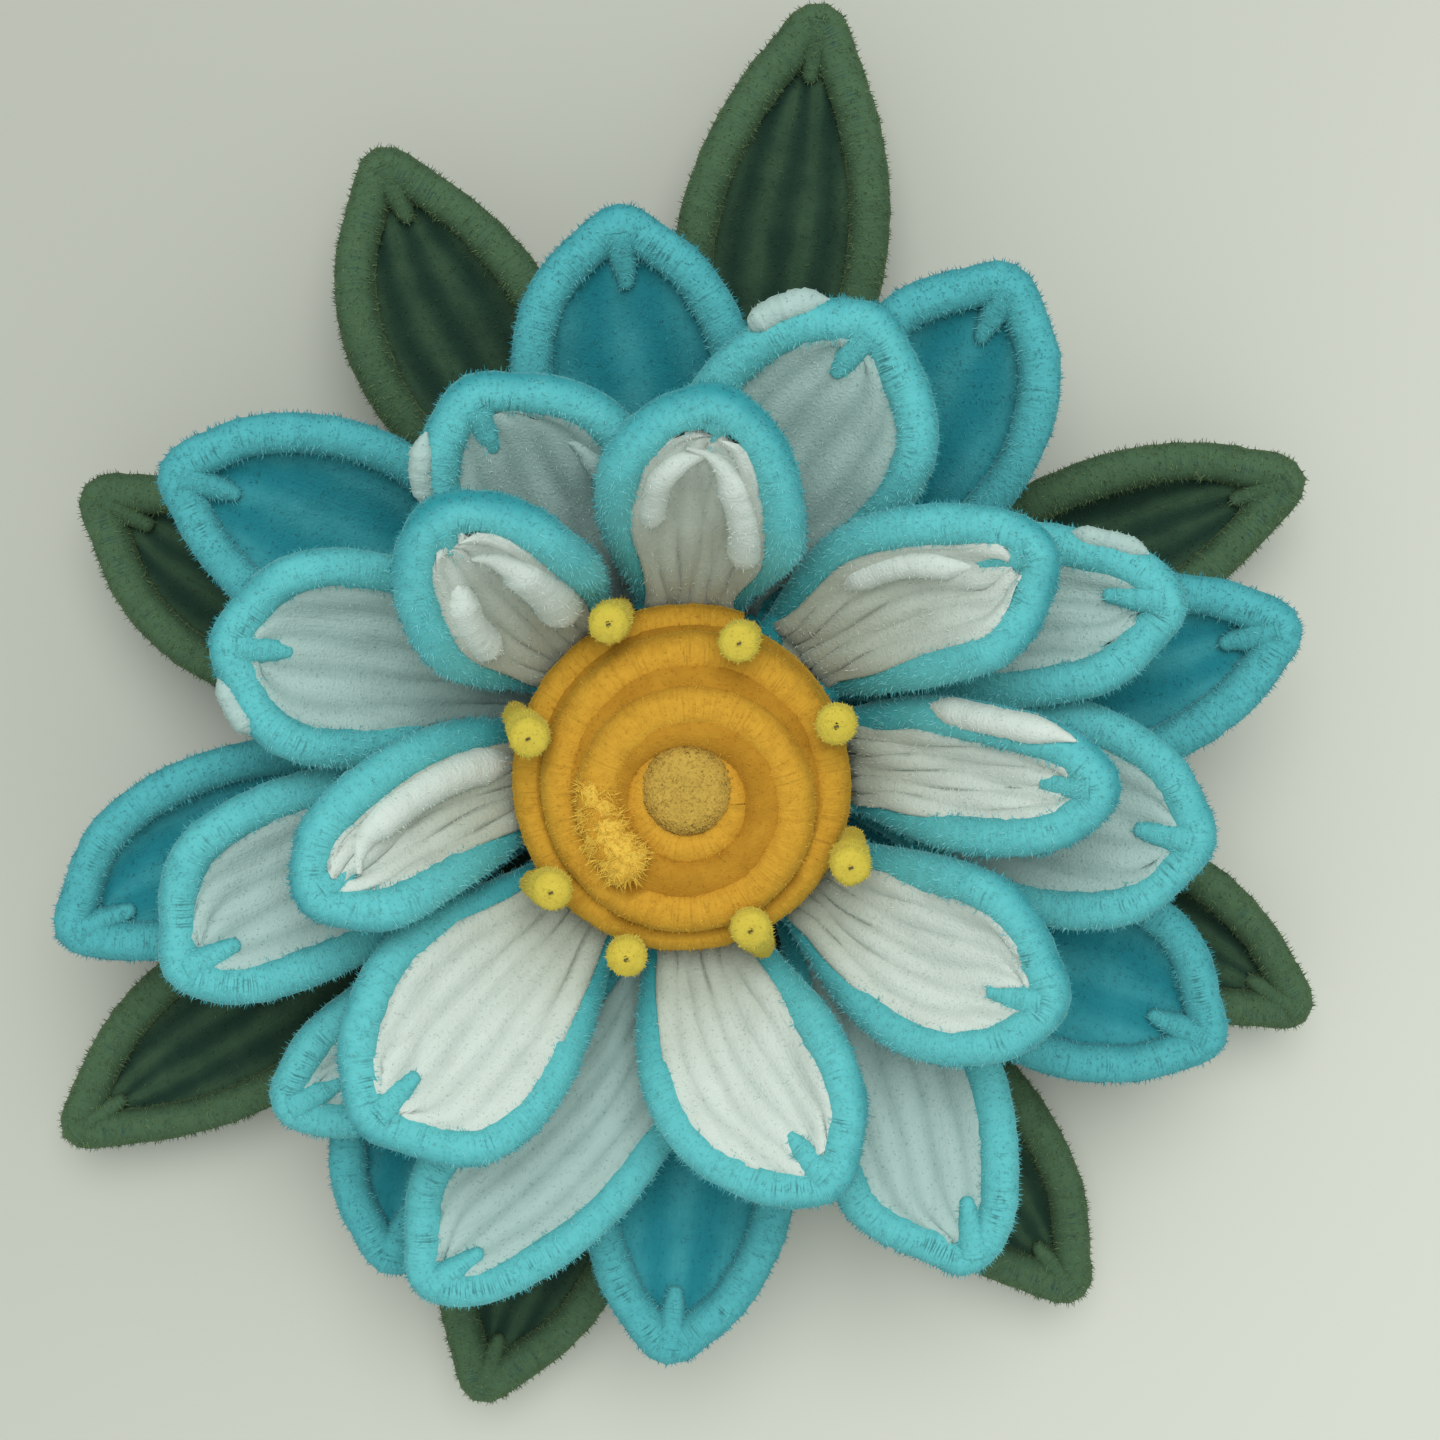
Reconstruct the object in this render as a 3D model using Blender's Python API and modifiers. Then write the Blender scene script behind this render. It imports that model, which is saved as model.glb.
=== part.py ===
"""Water lily flower bent from chenille stems, lying on its back and facing up.

Rings of looped petals sit one above the other on a bundle of twisted stem tails. Lengths
are in metres, except for the millimetres in the petals' rows, and angles in degrees
anticlockwise from +X as seen from the front (+Z).
"""

import math
from collections import namedtuple

import bmesh
import bpy
import numpy as np

# Chenille stem
PILE_RADIUS = 0.0030         # a stem's pile, free of its neighbours
TIED_RADIUS = 0.0021         # the same pile squeezed where the stems are tied to the hub
SQUEEZED_SHARES = (0.10, 0.32)  # squeezed up to one share of a rim's length, free past the other
FILL_THICKNESS = 0.0024      # white runs laid side by side inside a rim
FILL_RIDGE = 0.0011          # how far each run stands above the grooves beside it
FILL_STEEPEST = 0.2          # and no higher than this share of a run's width
FILL_TIP_HALF_WIDTH = 0.0040 # the white ends this wide, short of the rim's fold
FILL_LIFT = 0.0005           # the filling's grooves above the level of the rim's core
FILL_CLEARANCE = 0.0004      # the filling's pile is brushed back this far from the rim
FILL_SLACK = 0.0001          # and this much further for the facets
FILL_ROWS = 6
FILL_BUNCHING = 0.92         # below 1 the rows crowd towards the tip
FILL_STATIONS = 120          # places tried for the filling's end
SINK_ROOM = (0.001, 0.008)   # it sinks from on top of the rims as this room opens
SUNK_SHARE = 0.62            # and lies between them past this share of the length
SEAT_GAP = 0.0003            # touching pieces

# Petals of one colour: a sheet with a raised rim, from its edge in to its middle
SHEET_THICKNESS = 0.0040
PLAIN_ROWS = 7
PLAIN_BUNCHING = 1.35        # above 1 the rows crowd towards the tip
PLAIN_TIP = 0.3              # the sheet runs this share of the pile's radius past the fold
PLAIN_INSETS = (0.0, PILE_RADIUS, 2.1 * PILE_RADIUS)
PLAIN_LIFTS = (-0.0002, 0.0016, -0.0010, 0.0008, -0.0004)
PLAIN_FLAT = 0.008           # where the sheet is narrower than this, its relief is gone

# Hub of twisted tails
HUB_RADIUS = 0.0167
HUB_GROOVE = 0.0006
HUB_STRANDS = 9
HUB_TWIST = 40.0
HUB_LEVELS = 5

# Where the rings are tied to the hub, above its flat foot
LEAF_HEIGHT = 0.0050
OUTER_HEIGHT = 0.0118
MIDDLE_HEIGHT = 0.0185
INNER_HEIGHT = 0.0264

# Golden centre
COIL_PILE_RADIUS = 0.0026
COIL_OUTER_RADIUS = 0.0192
COIL_PITCH = 0.0045          # how far a turn lies inside the one before
COIL_TURN_RISE = 0.0032      # and above it
COIL_TUCK_TURNS = 0.45       # the outer end runs this far under the turn above it
COIL_TUCK_RISE = 0.0034
COIL_TURNS = 2.42
COIL_TAIL_ANGLE = 222.0      # where the inner end lies on top
COIL_SEGMENTS = 22           # a turn
BUTTON_RADIUS = 0.0059
BUTTON_FLAT_RADIUS = 0.0041  # nearly level up to here
BUTTON_ROUNDING = 0.0006
BUTTON_THICKNESS = 0.0040
BUTTON_STEP = 0.0012         # from the crown down to the brim
BUTTON_SEGMENTS = 16
BUTTON_SINK = 0.0034         # the button's crown below the crest of the coil

# Stamens
STAMEN_RADIUS = 0.0024
STAMEN_FOOT_PILE = 0.0015    # its pile squeezed between the coil and the petals
STAMEN_HEAD_RISE = 0.0135    # its head above the core of the coil's lowest turn
STAMEN_SHOULDER_SHARE = 0.28 # upright to this share of its rise
STAMEN_BEND_SHARE = 0.65     # and leaning from there, with full pile past this share
STAMEN_FOOT_RISE = 0.0022    # its foot above the core of the turn that it stands against

MM = 0.001                   # a millimetre, the unit of the petals' rows
SHARP_ANGLE = 50.0           # edges turned further than this are shaded sharp
SPINE_SAMPLES = 40
LEVEL_RUN = 0.0058           # a petal stays level for this far beside the hub
CURL_POWER = 5               # the curl is all in the last third

# Shares of a petal's length at which its rim's core has a point
RIM_SHARES = (0.0, 0.13, 0.30, 0.45, 0.60, 0.74, 0.86, 0.955, 1.0)
OUTLINE_SAMPLES = 81

# A ring's shared form. tied_width is half the distance between the two tied stems, blunt
# is how full a tip is (1 is a wedge, 2 an ellipse), runs how many white runs fill a petal
# and fill_start how far from the hub they begin on a flat petal.
Ring = namedtuple("Ring", "height tied_width blunt runs fill_start")
LEAF_RING = Ring(LEAF_HEIGHT, 0.0020, 1.15, 0, 0.0)
OUTER_RING = Ring(OUTER_HEIGHT, 0.0020, 1.35, 0, 0.0)
MIDDLE_RING = Ring(MIDDLE_HEIGHT, 0.0026, 1.7, 3, 0.0140)
INNER_RING = Ring(INNER_HEIGHT, 0.0030, 1.7, 4, 0.0066)

# One row a petal, in degrees and millimetres: the angles of its root and its tip, how far
# its tip reaches from the flower's axis, the widths of its two sides at the shares of its
# length in STATIONS (anticlockwise of its middle line, then clockwise), how far aside the
# fold at its tip lies, its tip's height, how far its edges are cupped up and how far its
# last third is curled up. All are places of the rim stem's core.
Petal = namedtuple("Petal", "number root tip reach ahead behind fold tip_height cup curl")
STATIONS = (0.30, 0.60, 0.85)

LEAVES = (
    Petal(1, 79, 80, 96.5, (6, 12, 8), (6, 11.5, 7.5), 0, 14, 4, 0),
    Petal(2, 28, 25, 86.5, (6, 10.5, 7.5), (6, 10, 6.5), 0, 14, 4, 0),
    Petal(3, -16, -23, 89.5, (6, 10, 7), (6, 9.5, 6.5), 0, 12, 4, 0),
    Petal(4, -58, -55, 92, (6, 11, 8.5), (6, 10, 7), 0, 10, 3, 0),
    Petal(5, -107, -108, 94.5, (6, 11.5, 8.5), (6, 11, 8), 0, 10, 3, 0),
    Petal(6, -150, -148, 99.5, (6, 10.5, 7), (6, 11, 8), 0, 10, 3, 0),
    Petal(7, 162, 156, 84.5, (6, 12.5, 9.5), (6, 10.5, 6.5), 0, 14, 4, 0),
    Petal(8, 119, 117, 86, (6, 13, 10), (6, 11, 7.5), 0, 16, 4.5, 0),
)
OUTER_PETALS = (
    Petal(1, 97, 97, 68.5, (6, 13.5, 12), (6, 12.5, 10), 0, 30, 4.5, 0),
    Petal(2, 52, 57, 72.5, (6, 13, 12), (6, 12, 10), 0, 30, 4.5, 0),
    Petal(3, 10, 14, 77, (6, 11, 8), (6, 11, 8), 0, 28, 3.5, 0),
    Petal(4, -32, -27, 76, (6, 12.5, 12), (6, 11.5, 9), -1, 25, 3.5, 0),
    Petal(5, -88, -92, 78, (6, 12, 9), (6, 12, 9), 0, 24, 3, 0),
    Petal(6, -130, -121, 76.5, (6, 11, 8.5), (6, 12, 10), 0, 24, 3, 0),
    Petal(7, -172, -166, 82, (6, 10.5, 7), (6, 12.5, 10.5), 1.5, 26, 3.5, 0),
    Petal(8, 142, 149, 73.5, (6, 12.5, 9), (6, 13, 10), 0, 30, 4.5, 0),
)
MIDDLE_PETALS = (
    Petal(1, 118, 114, 53, (7, 12.5, 12), (7, 12.5, 12.5), 4, 45, 5, 0),
    Petal(2, 76, 67, 59, (7, 13.5, 12), (7, 12.5, 12.5), 2, 44, 4.5, 0),
    Petal(3, 38, 20, 61, (7, 10, 8), (7, 10, 8.5), 3, 41, 4, 0),
    Petal(4, -4, -6, 62.5, (7, 12.5, 10.5), (7, 12, 11), 0, 39, 3.5, 0),
    Petal(5, -46, -62, 69, (7, 10, 9), (7, 11.5, 10.5), 4.5, 36, 3, 0),
    Petal(6, -94, -119, 70.5, (7, 10, 9), (7, 10.5, 10), 4, 35, 3, 0),
    Petal(7, -130, -140, 66, (5, 7.5, 6), (5, 7.5, 7), 0, 32, 2, 0),
    Petal(8, -168, -163, 66.5, (7, 10.5, 10), (5.5, 11, 11), 4, 39, 3.5, 0),
    Petal(9, 156, 162, 57.5, (5.5, 11, 12), (7, 12, 12.5), 0, 41, 4.5, 0),
)
COVERED_MIDDLE_PETALS = (7,)     # nearly hidden by its neighbours, made in one piece
INNER_PETALS = (
    Petal(1, 89, 85, 46.5, (7, 11, 11.5), (7.5, 12, 9.5), 0, 54, 6, 2),
    Petal(2, 46, 34, 49.5, (7.5, 11, 8), (7, 9, 9), 3, 52, 5, 1),
    Petal(3, 3, 2, 48.5, (6.5, 8.5, 7), (6, 8, 6.5), 0.5, 51, 4.5, 0),
    Petal(4, -42, -27, 48.5, (6.5, 10, 11), (7, 11, 9.5), -2.5, 49, 3.5, 0),
    Petal(5, -86, -70, 50, (7, 10.5, 9.5), (8, 11.5, 8), 0, 47, 3, 0),
    Petal(6, -131, -133, 54.5, (8, 12.5, 12), (8, 13, 10.5), -1, 47, 3, 0),
    Petal(7, -177, -166, 45.5, (6.5, 8, 8), (7.5, 9, 7.5), 0, 48, 4, 0),
    Petal(8, 135, 128, 43.5, (8, 11.5, 9.5), (7, 10.5, 10), 2, 53, 6, 2),
)

# Stamens: the angle of the foot and of the head, and how far the head is from the axis
Stamen = namedtuple("Stamen", "number foot_angle head_angle head_radius")
STAMENS = (
    Stamen(1, 111, 114, 0.0228),
    Stamen(2, 68, 71, 0.0196),
    Stamen(3, 24, 25, 0.0200),
    Stamen(4, -18, -24, 0.0219),
    Stamen(5, -65, -65, 0.0185),
    Stamen(6, -109, -110, 0.0216),
    Stamen(7, -154, -144, 0.0200),
    Stamen(8, 158, 160, 0.0203),
)

# Colour, roughness
TEAL = ("teal_pile", (0.065, 0.47, 0.53, 1.0), 0.92)
DEEP_TEAL = ("deep_teal_pile", (0.03, 0.30, 0.37, 1.0), 0.92)
WHITE = ("white_pile", (0.72, 0.75, 0.70, 1.0), 0.92)
GREEN = ("green_pile", (0.045, 0.105, 0.05, 1.0), 0.92)
GOLD = ("golden_pile", (0.66, 0.34, 0.03, 1.0), 0.9)
STRAW = ("straw_pile", (0.60, 0.38, 0.10, 1.0), 0.9)
YELLOW = ("yellow_pile", (0.68, 0.58, 0.09, 1.0), 0.9)


def clear_scene():
    """Remove what the scene holds."""
    for old in list(bpy.data.objects):
        bpy.data.objects.remove(old, do_unlink=True)


def new_collection(name):
    """A collection linked to the scene."""
    made = bpy.data.collections.new(name)
    bpy.context.scene.collection.children.link(made)
    return made


def pile_material(finish):
    """A matt Principled material for a colour of pile, made once."""
    name, colour, roughness = finish
    material = bpy.data.materials.get(name)
    if material is None:
        material = bpy.data.materials.new(name)
        material.use_nodes = True
        shader = material.node_tree.nodes["Principled BSDF"]
        shader.inputs["Base Color"].default_value = colour
        shader.inputs["Roughness"].default_value = roughness
        shader.inputs["Metallic"].default_value = 0.0
    return material


def direction(angle):
    """Unit vector in the flower's plane."""
    return np.array([math.cos(math.radians(angle)), math.sin(math.radians(angle)), 0.0])


def unit_rows(rows):
    """Each row scaled to unit length."""
    return rows / np.linalg.norm(rows, axis=1)[:, None]


class Spine:
    """The middle line of a petal, from the hub to its tip, with a frame along it."""

    def __init__(self, petal, ring):
        reach = petal.reach * MM
        root = direction(petal.root) * (HUB_RADIUS + SEAT_GAP)
        tip = direction(petal.tip) * reach
        bend = direction(petal.root) * (HUB_RADIUS + reach) / 2
        share = np.linspace(0.0, 1.0, SPINE_SAMPLES)[:, None]
        points = root * (1 - share) ** 2 + bend * 2 * share * (1 - share) + tip * share ** 2
        level = LEVEL_RUN / (reach - HUB_RADIUS)
        climbed = np.clip((share[:, 0] - level) / (1 - level), 0, 1)
        points[:, 2] = ring.height + (petal.tip_height * MM - ring.height) * climbed
        points[:, 2] += petal.curl * MM * climbed ** CURL_POWER
        steps = np.linalg.norm(np.diff(points, axis=0), axis=1)
        self.along = np.concatenate([[0.0], np.cumsum(steps)])
        self.length = self.along[-1]
        self.points = points
        forward = unit_rows(np.gradient(points, axis=0))
        self.sideways = unit_rows(np.cross([0.0, 0.0, 1.0], forward))
        self.normal = np.cross(forward, self.sideways)
        self.tip_forward = forward[-1]
        half_width = (petal.ahead[1] + petal.behind[1]) / 2 * MM
        self.bow = 2 * petal.cup * MM / half_width ** 2

    def read(self, rows, distance):
        """A row of vectors at a distance along the spine."""
        return np.array([np.interp(distance, self.along, rows[:, k]) for k in range(3)])

    def place(self, distance, aside, lift):
        """The point that lies so far along, aside and above the petal's cupped face."""
        beyond = max(0.0, distance - self.length)
        share = min(distance / self.length, 1.0)
        bow = self.bow * math.sin(0.5 * math.pi * share)
        turn = bow * aside
        if abs(turn) < 1e-6:
            across, up = aside, lift
        else:
            across = math.sin(turn) / bow - lift * math.sin(turn)
            up = (1 - math.cos(turn)) / bow + lift * math.cos(turn)
        point = self.read(self.points, distance)
        point = point + self.read(self.sideways, distance) * across
        point = point + self.read(self.normal, distance) * up
        return point + self.tip_forward * beyond


def side_widths(petal, ring, side):
    """The rim's core at RIM_SHARES of the length, aside of the spine, side 1 or -1."""
    widths = [width * MM for width in (petal.ahead if side > 0 else petal.behind)]
    flare = np.polyfit((0.0,) + STATIONS, [ring.tied_width] + widths, len(STATIONS))
    fold = side * petal.fold * MM
    found = []
    for share in RIM_SHARES:
        if share <= STATIONS[-1]:
            found.append(side * float(np.polyval(flare, share)))
        else:
            past = (share - STATIONS[-1]) / (1 - STATIONS[-1])
            closing = max(0.0, 1 - past ** ring.blunt) ** (1 / ring.blunt)
            found.append(side * (fold + (widths[-1] - fold) * closing))
    return found


class Outline:
    """The flat outline of a petal's rim: the two sides of its core and its distances along."""

    def __init__(self, petal, ring, length):
        self.share = np.linspace(0.0, 1.0, OUTLINE_SAMPLES)
        self.along = self.share * length
        self.sides = {side: side * np.interp(self.share, RIM_SHARES, side_widths(petal, ring, side))
                      for side in (1, -1)}

    def width(self, distance, side):
        """How far one side is from the spine."""
        return float(np.interp(distance, self.along, self.sides[side]))

    def moved_in(self, distance, inset, side):
        """The same, of the outline moved inwards by an inset."""
        near = np.abs(self.along - distance) < inset
        if not near.any():
            return self.width(distance, side)
        drop = np.sqrt(inset ** 2 - (self.along[near] - distance) ** 2)
        return float(np.min(self.sides[side][near] - drop))

    def moved_out(self, distance, outset, side):
        """The same, of the outline moved outwards by an outset."""
        near = np.abs(self.along - distance) < outset
        rise = np.sqrt(outset ** 2 - (self.along[near] - distance) ** 2)
        return float(np.max(self.sides[side][near] + rise))


def shade(mesh):
    """Smooth shading with the sharp edges kept."""
    mesh.shade_smooth()
    mesh.set_sharp_from_angle(angle=math.radians(SHARP_ANGLE))


def stem_tube(name, points, radii, finish, collection, resolution=1):
    """A stem along points, with its pile's radius at each."""
    curve = bpy.data.curves.new(name, "CURVE")
    curve.dimensions = "3D"
    curve.bevel_depth = 1.0
    curve.bevel_resolution = resolution
    curve.use_fill_caps = True
    spline = curve.splines.new("POLY")
    spline.points.add(len(points) - 1)
    for point, place, radius in zip(spline.points, points, radii):
        point.co = (*place, 1.0)
        point.radius = radius
    curve.materials.append(pile_material(finish))
    made = bpy.data.objects.new(name, curve)
    collection.objects.link(made)
    return made


def thick_sheet(name, place, along_count, across_count, thickness, finish, collection):
    """A grid bent by place(u, v), with u from 0 to 1 and v from -1 to 1, made solid."""
    mesh = bpy.data.meshes.new(name)
    grid = bmesh.new()
    bmesh.ops.create_grid(grid, x_segments=along_count, y_segments=across_count, size=1.0)
    for vertex in grid.verts:
        vertex.co = place((vertex.co.x + 1) / 2, vertex.co.y)
    grid.to_mesh(mesh)
    grid.free()
    mesh.materials.append(pile_material(finish))
    shade(mesh)
    made = bpy.data.objects.new(name, mesh)
    collection.objects.link(made)
    solidify = made.modifiers.new("thickness", "SOLIDIFY")
    solidify.thickness = thickness
    solidify.offset = 0.0
    return made


def pile_radius(share):
    """A rim's pile, squeezed by the hub and free further out."""
    return float(np.interp(share, SQUEEZED_SHARES, (TIED_RADIUS, PILE_RADIUS)))


def rim(name, petal, ring, spine, finish, collection):
    """The rim stem: out from the hub along one side, round the tip and back."""
    ahead = list(zip(RIM_SHARES, side_widths(petal, ring, 1)))
    behind = list(zip(RIM_SHARES, side_widths(petal, ring, -1)))
    route = behind[:-1] + ahead[::-1]
    points = [spine.place(share * spine.length, aside, 0.0) for share, aside in route]
    radii = [pile_radius(share) for share, _ in route]
    return stem_tube(name, points, radii, finish, collection)


def fill(name, petal, ring, spine, finish, collection):
    """The white runs inside a rim: on top of it by the hub, then down between its sides."""
    outline = Outline(petal, ring, spine.length)
    rise = petal.tip_height * MM - ring.height
    steepness = rise / math.hypot(rise, petal.reach * MM - HUB_RADIUS - LEVEL_RUN)
    stack = TIED_RADIUS + SEAT_GAP + FILL_CLEARANCE + FILL_THICKNESS + FILL_RIDGE
    first = ring.fill_start + stack * steepness
    rim_room = PILE_RADIUS + SEAT_GAP + FILL_CLEARANCE

    def span(distance, inset):
        """The places aside between which the filling lies."""
        return -outline.moved_in(distance, inset, -1), outline.moved_in(distance, inset, 1)

    last = first
    for distance in np.linspace(first, spine.length, FILL_STATIONS):
        low, high = span(distance, rim_room)
        if high - low > 2 * FILL_TIP_HALF_WIDTH:
            last = distance

    def place(u, v):
        distance = first + (last - first) * u ** FILL_BUNCHING
        share = distance / spine.length
        pile = pile_radius(share) + SEAT_GAP + FILL_CLEARANCE
        on_top = pile + FILL_THICKNESS / 2
        room = min(outline.width(distance, 1), outline.width(distance, -1)) - pile
        sunk = 1.0
        if share < SUNK_SHARE:
            sunk = float(np.clip((room - SINK_ROOM[0]) / (SINK_ROOM[1] - SINK_ROOM[0]), 0.0, 1.0))
        lift = on_top + (FILL_LIFT - on_top) * sunk
        over = max(0.0, lift - FILL_THICKNESS / 2)
        low, high = span(distance, math.sqrt(max(0.0, pile ** 2 - over ** 2)) + FILL_SLACK)
        ridge = min(FILL_RIDGE, FILL_STEEPEST * (high - low) / ring.runs)
        run = round((v + 1) * ring.runs)
        aside = low + (high - low) * (v + 1) / 2
        return spine.place(distance, aside, lift + (ridge if run % 2 else 0.0))

    return thick_sheet(name, place, FILL_ROWS, 2 * ring.runs, FILL_THICKNESS, finish, collection)


def plain_petal(name, petal, ring, spine, finish, collection):
    """A petal all of one colour: a raised rim round lengthwise runs, one solid."""
    outline = Outline(petal, ring, spine.length)
    last = spine.length + PILE_RADIUS * PLAIN_TIP
    middle = len(PLAIN_LIFTS) - 1

    def place(u, v):
        row = round(u * PLAIN_ROWS)
        distance = 0.0
        if row:
            left = 1 - (row - 1) / (PLAIN_ROWS - 1)
            distance = LEVEL_RUN + (last - LEVEL_RUN) * (1 - left ** PLAIN_BUNCHING)
        high = outline.moved_out(distance, PILE_RADIUS, 1)
        low = -outline.moved_out(distance, PILE_RADIUS, -1)
        centre = (high + low) / 2
        edge = (high - low) / 2
        inward = middle - round(abs(v) * middle)
        even = edge * abs(v)
        if inward < len(PLAIN_INSETS):
            even = max(even, edge - PLAIN_INSETS[inward])
        elif inward < middle:
            even = max(even, (edge - PLAIN_INSETS[-1]) / 2)
        relief = float(np.clip((edge - PLAIN_FLAT) / PLAIN_FLAT, 0.0, 1.0))
        aside = centre + (math.copysign(even, v) if inward < middle else 0.0)
        return spine.place(distance, aside, PLAIN_LIFTS[inward] * relief)

    return thick_sheet(name, place, PLAIN_ROWS, 2 * middle, SHEET_THICKNESS, finish, collection)


def make_ring(petals, ring, rim_name, fill_name, rim_finish, fill_finish, collection, hidden=()):
    """Every petal of a ring, with a separate filling where that has its own colour and shows."""
    for petal in petals:
        spine = Spine(petal, ring)
        name = f"{rim_name}_{petal.number}"
        if fill_name is None or petal.number in hidden:
            plain_petal(name, petal, ring, spine, rim_finish, collection)
        else:
            rim(name, petal, ring, spine, rim_finish, collection)
            fill(f"{fill_name}_{petal.number}", petal, ring, spine, fill_finish, collection)


def coil_base_height():
    """Height of the core of the coil's lowest turn."""
    return INNER_HEIGHT + TIED_RADIUS + SEAT_GAP + COIL_PILE_RADIUS


def coil_core(turns):
    """Radius and height of the coil's core, so many turns in from its tucked outer end."""
    tucked = min(turns, COIL_TUCK_TURNS)
    wound = turns - tucked
    radius = COIL_OUTER_RADIUS - COIL_PITCH * wound
    height = coil_base_height() + COIL_TUCK_RISE * tucked / COIL_TUCK_TURNS
    return radius, height + COIL_TURN_RISE * wound


def coil_angle(turns):
    """Angle of the coil's core; the stem is wound clockwise outwards."""
    return COIL_TAIL_ANGLE - 360.0 * (COIL_TURNS - turns)


def centre_coil(collection):
    """The golden stem wound as a domed spiral, high at its inner end."""
    count = round(COIL_TURNS * COIL_SEGMENTS)
    points = []
    for k in range(count + 1):
        turns = COIL_TURNS * k / count
        radius, height = coil_core(turns)
        point = direction(coil_angle(turns)) * radius
        point[2] = height
        points.append(point)
    radii = [COIL_PILE_RADIUS] * len(points)
    return stem_tube("centre_coil", points, radii, GOLD, collection, resolution=2)


def centre_button(collection):
    """The straw button in the hole of the coil, with a brim that meets the inner turn."""
    inner_radius, inner_height = coil_core(COIL_TURNS)
    crown = inner_height + COIL_PILE_RADIUS - BUTTON_SINK
    brim_radius = inner_radius - COIL_PILE_RADIUS - SEAT_GAP
    brim_top = crown - BUTTON_STEP
    foot = crown - BUTTON_THICKNESS
    profile = (
        (0.0, crown),
        (BUTTON_FLAT_RADIUS, crown - BUTTON_ROUNDING / 3),
        (BUTTON_RADIUS, crown - BUTTON_ROUNDING),
        (BUTTON_RADIUS, brim_top),
        (brim_radius, brim_top),
        (brim_radius, foot),
        (0.0, foot),
    )
    mesh = bpy.data.meshes.new("centre_button")
    mesh.from_pydata([(x, 0.0, z) for x, z in profile],
                     [(k, k + 1) for k in range(len(profile) - 1)], [])
    mesh.materials.append(pile_material(STRAW))
    made = bpy.data.objects.new("centre_button", mesh)
    collection.objects.link(made)
    screw = made.modifiers.new("turn", "SCREW")
    screw.axis = "Z"
    screw.steps = BUTTON_SEGMENTS
    screw.render_steps = BUTTON_SEGMENTS
    screw.use_merge_vertices = True
    screw.merge_threshold = 0.0001
    screw.use_smooth_shade = False
    return made


def stamens(collection):
    """Short yellow stems that stand against the coil and lean in over its edge."""
    reach = COIL_PILE_RADIUS + STAMEN_FOOT_PILE + SEAT_GAP
    for stamen in STAMENS:
        turns = ((stamen.foot_angle - coil_angle(0.0)) % 360.0) / 360.0
        radius, height = coil_core(turns)
        beside = radius + math.sqrt(reach ** 2 - STAMEN_FOOT_RISE ** 2)
        foot_height = height + STAMEN_FOOT_RISE
        top = coil_base_height() + STAMEN_HEAD_RISE
        foot = direction(stamen.foot_angle) * beside
        head = direction(stamen.head_angle) * stamen.head_radius
        shoulder = foot.copy()
        bend = foot + (head - foot) * STAMEN_BEND_SHARE
        foot[2] = foot_height
        shoulder[2] = foot_height + (top - foot_height) * STAMEN_SHOULDER_SHARE
        bend[2] = foot_height + (top - foot_height) * STAMEN_BEND_SHARE
        head[2] = top
        points = [foot, shoulder, bend, head]
        radii = [STAMEN_FOOT_PILE, STAMEN_FOOT_PILE, STAMEN_RADIUS, STAMEN_RADIUS]
        stem_tube(f"stamen_{stamen.number}", points, radii, YELLOW, collection)


def hub(collection):
    """The bundle of twisted tails, with a flat foot, up to the underside of the coil."""
    top = coil_base_height() - COIL_PILE_RADIUS - SEAT_GAP
    mesh = bpy.data.meshes.new("hub")
    body = bmesh.new()
    bmesh.ops.create_circle(body, cap_ends=False, segments=2 * HUB_STRANDS, radius=HUB_RADIUS)
    for vertex in body.verts:
        bearing = math.degrees(math.atan2(vertex.co.y, vertex.co.x)) % 360.0
        strand = round(bearing / (180.0 / HUB_STRANDS))
        radius = HUB_RADIUS - (HUB_GROOVE if strand % 2 else 0.0)
        vertex.co = direction(bearing) * radius
    bottom = list(body.edges)
    edges = bottom
    for _ in range(HUB_LEVELS):
        grown = bmesh.ops.extrude_edge_only(body, edges=edges)["geom"]
        verts = [part for part in grown if isinstance(part, bmesh.types.BMVert)]
        edges = [part for part in grown if isinstance(part, bmesh.types.BMEdge)]
        bmesh.ops.translate(body, verts=verts, vec=(0, 0, top / HUB_LEVELS))
        turn = math.radians(HUB_TWIST / HUB_LEVELS)
        for vertex in verts:
            x, y = vertex.co.x, vertex.co.y
            vertex.co.x = x * math.cos(turn) - y * math.sin(turn)
            vertex.co.y = x * math.sin(turn) + y * math.cos(turn)
    bmesh.ops.edgeloop_fill(body, edges=bottom)
    bmesh.ops.edgeloop_fill(body, edges=edges)
    bmesh.ops.recalc_face_normals(body, faces=body.faces)
    body.to_mesh(mesh)
    body.free()
    mesh.materials.append(pile_material(GREEN))
    shade(mesh)
    made = bpy.data.objects.new("hub", mesh)
    collection.objects.link(made)
    return made


def main():
    """Build the flower from its back to its front."""
    clear_scene()
    flower = new_collection("chenille_water_lily")
    hub(flower)
    make_ring(LEAVES, LEAF_RING, "leaf", None, GREEN, None, flower)
    make_ring(OUTER_PETALS, OUTER_RING, "outer_petal", None, DEEP_TEAL, None, flower)
    make_ring(MIDDLE_PETALS, MIDDLE_RING, "middle_rim", "middle_fill", TEAL, WHITE, flower,
              hidden=COVERED_MIDDLE_PETALS)
    make_ring(INNER_PETALS, INNER_RING, "inner_rim", "inner_fill", TEAL, WHITE, flower)
    centre_coil(flower)
    centre_button(flower)
    stamens(flower)


main()
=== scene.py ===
"""Looks of a water lily flower bent from chenille stems, lying on its back and facing up.

Every stem is a twisted wire with cut pile round it. Lengths are in metres, angles in degrees
anticlockwise from +X as seen from the front (+Z).
"""
import math
from collections import namedtuple

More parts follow.
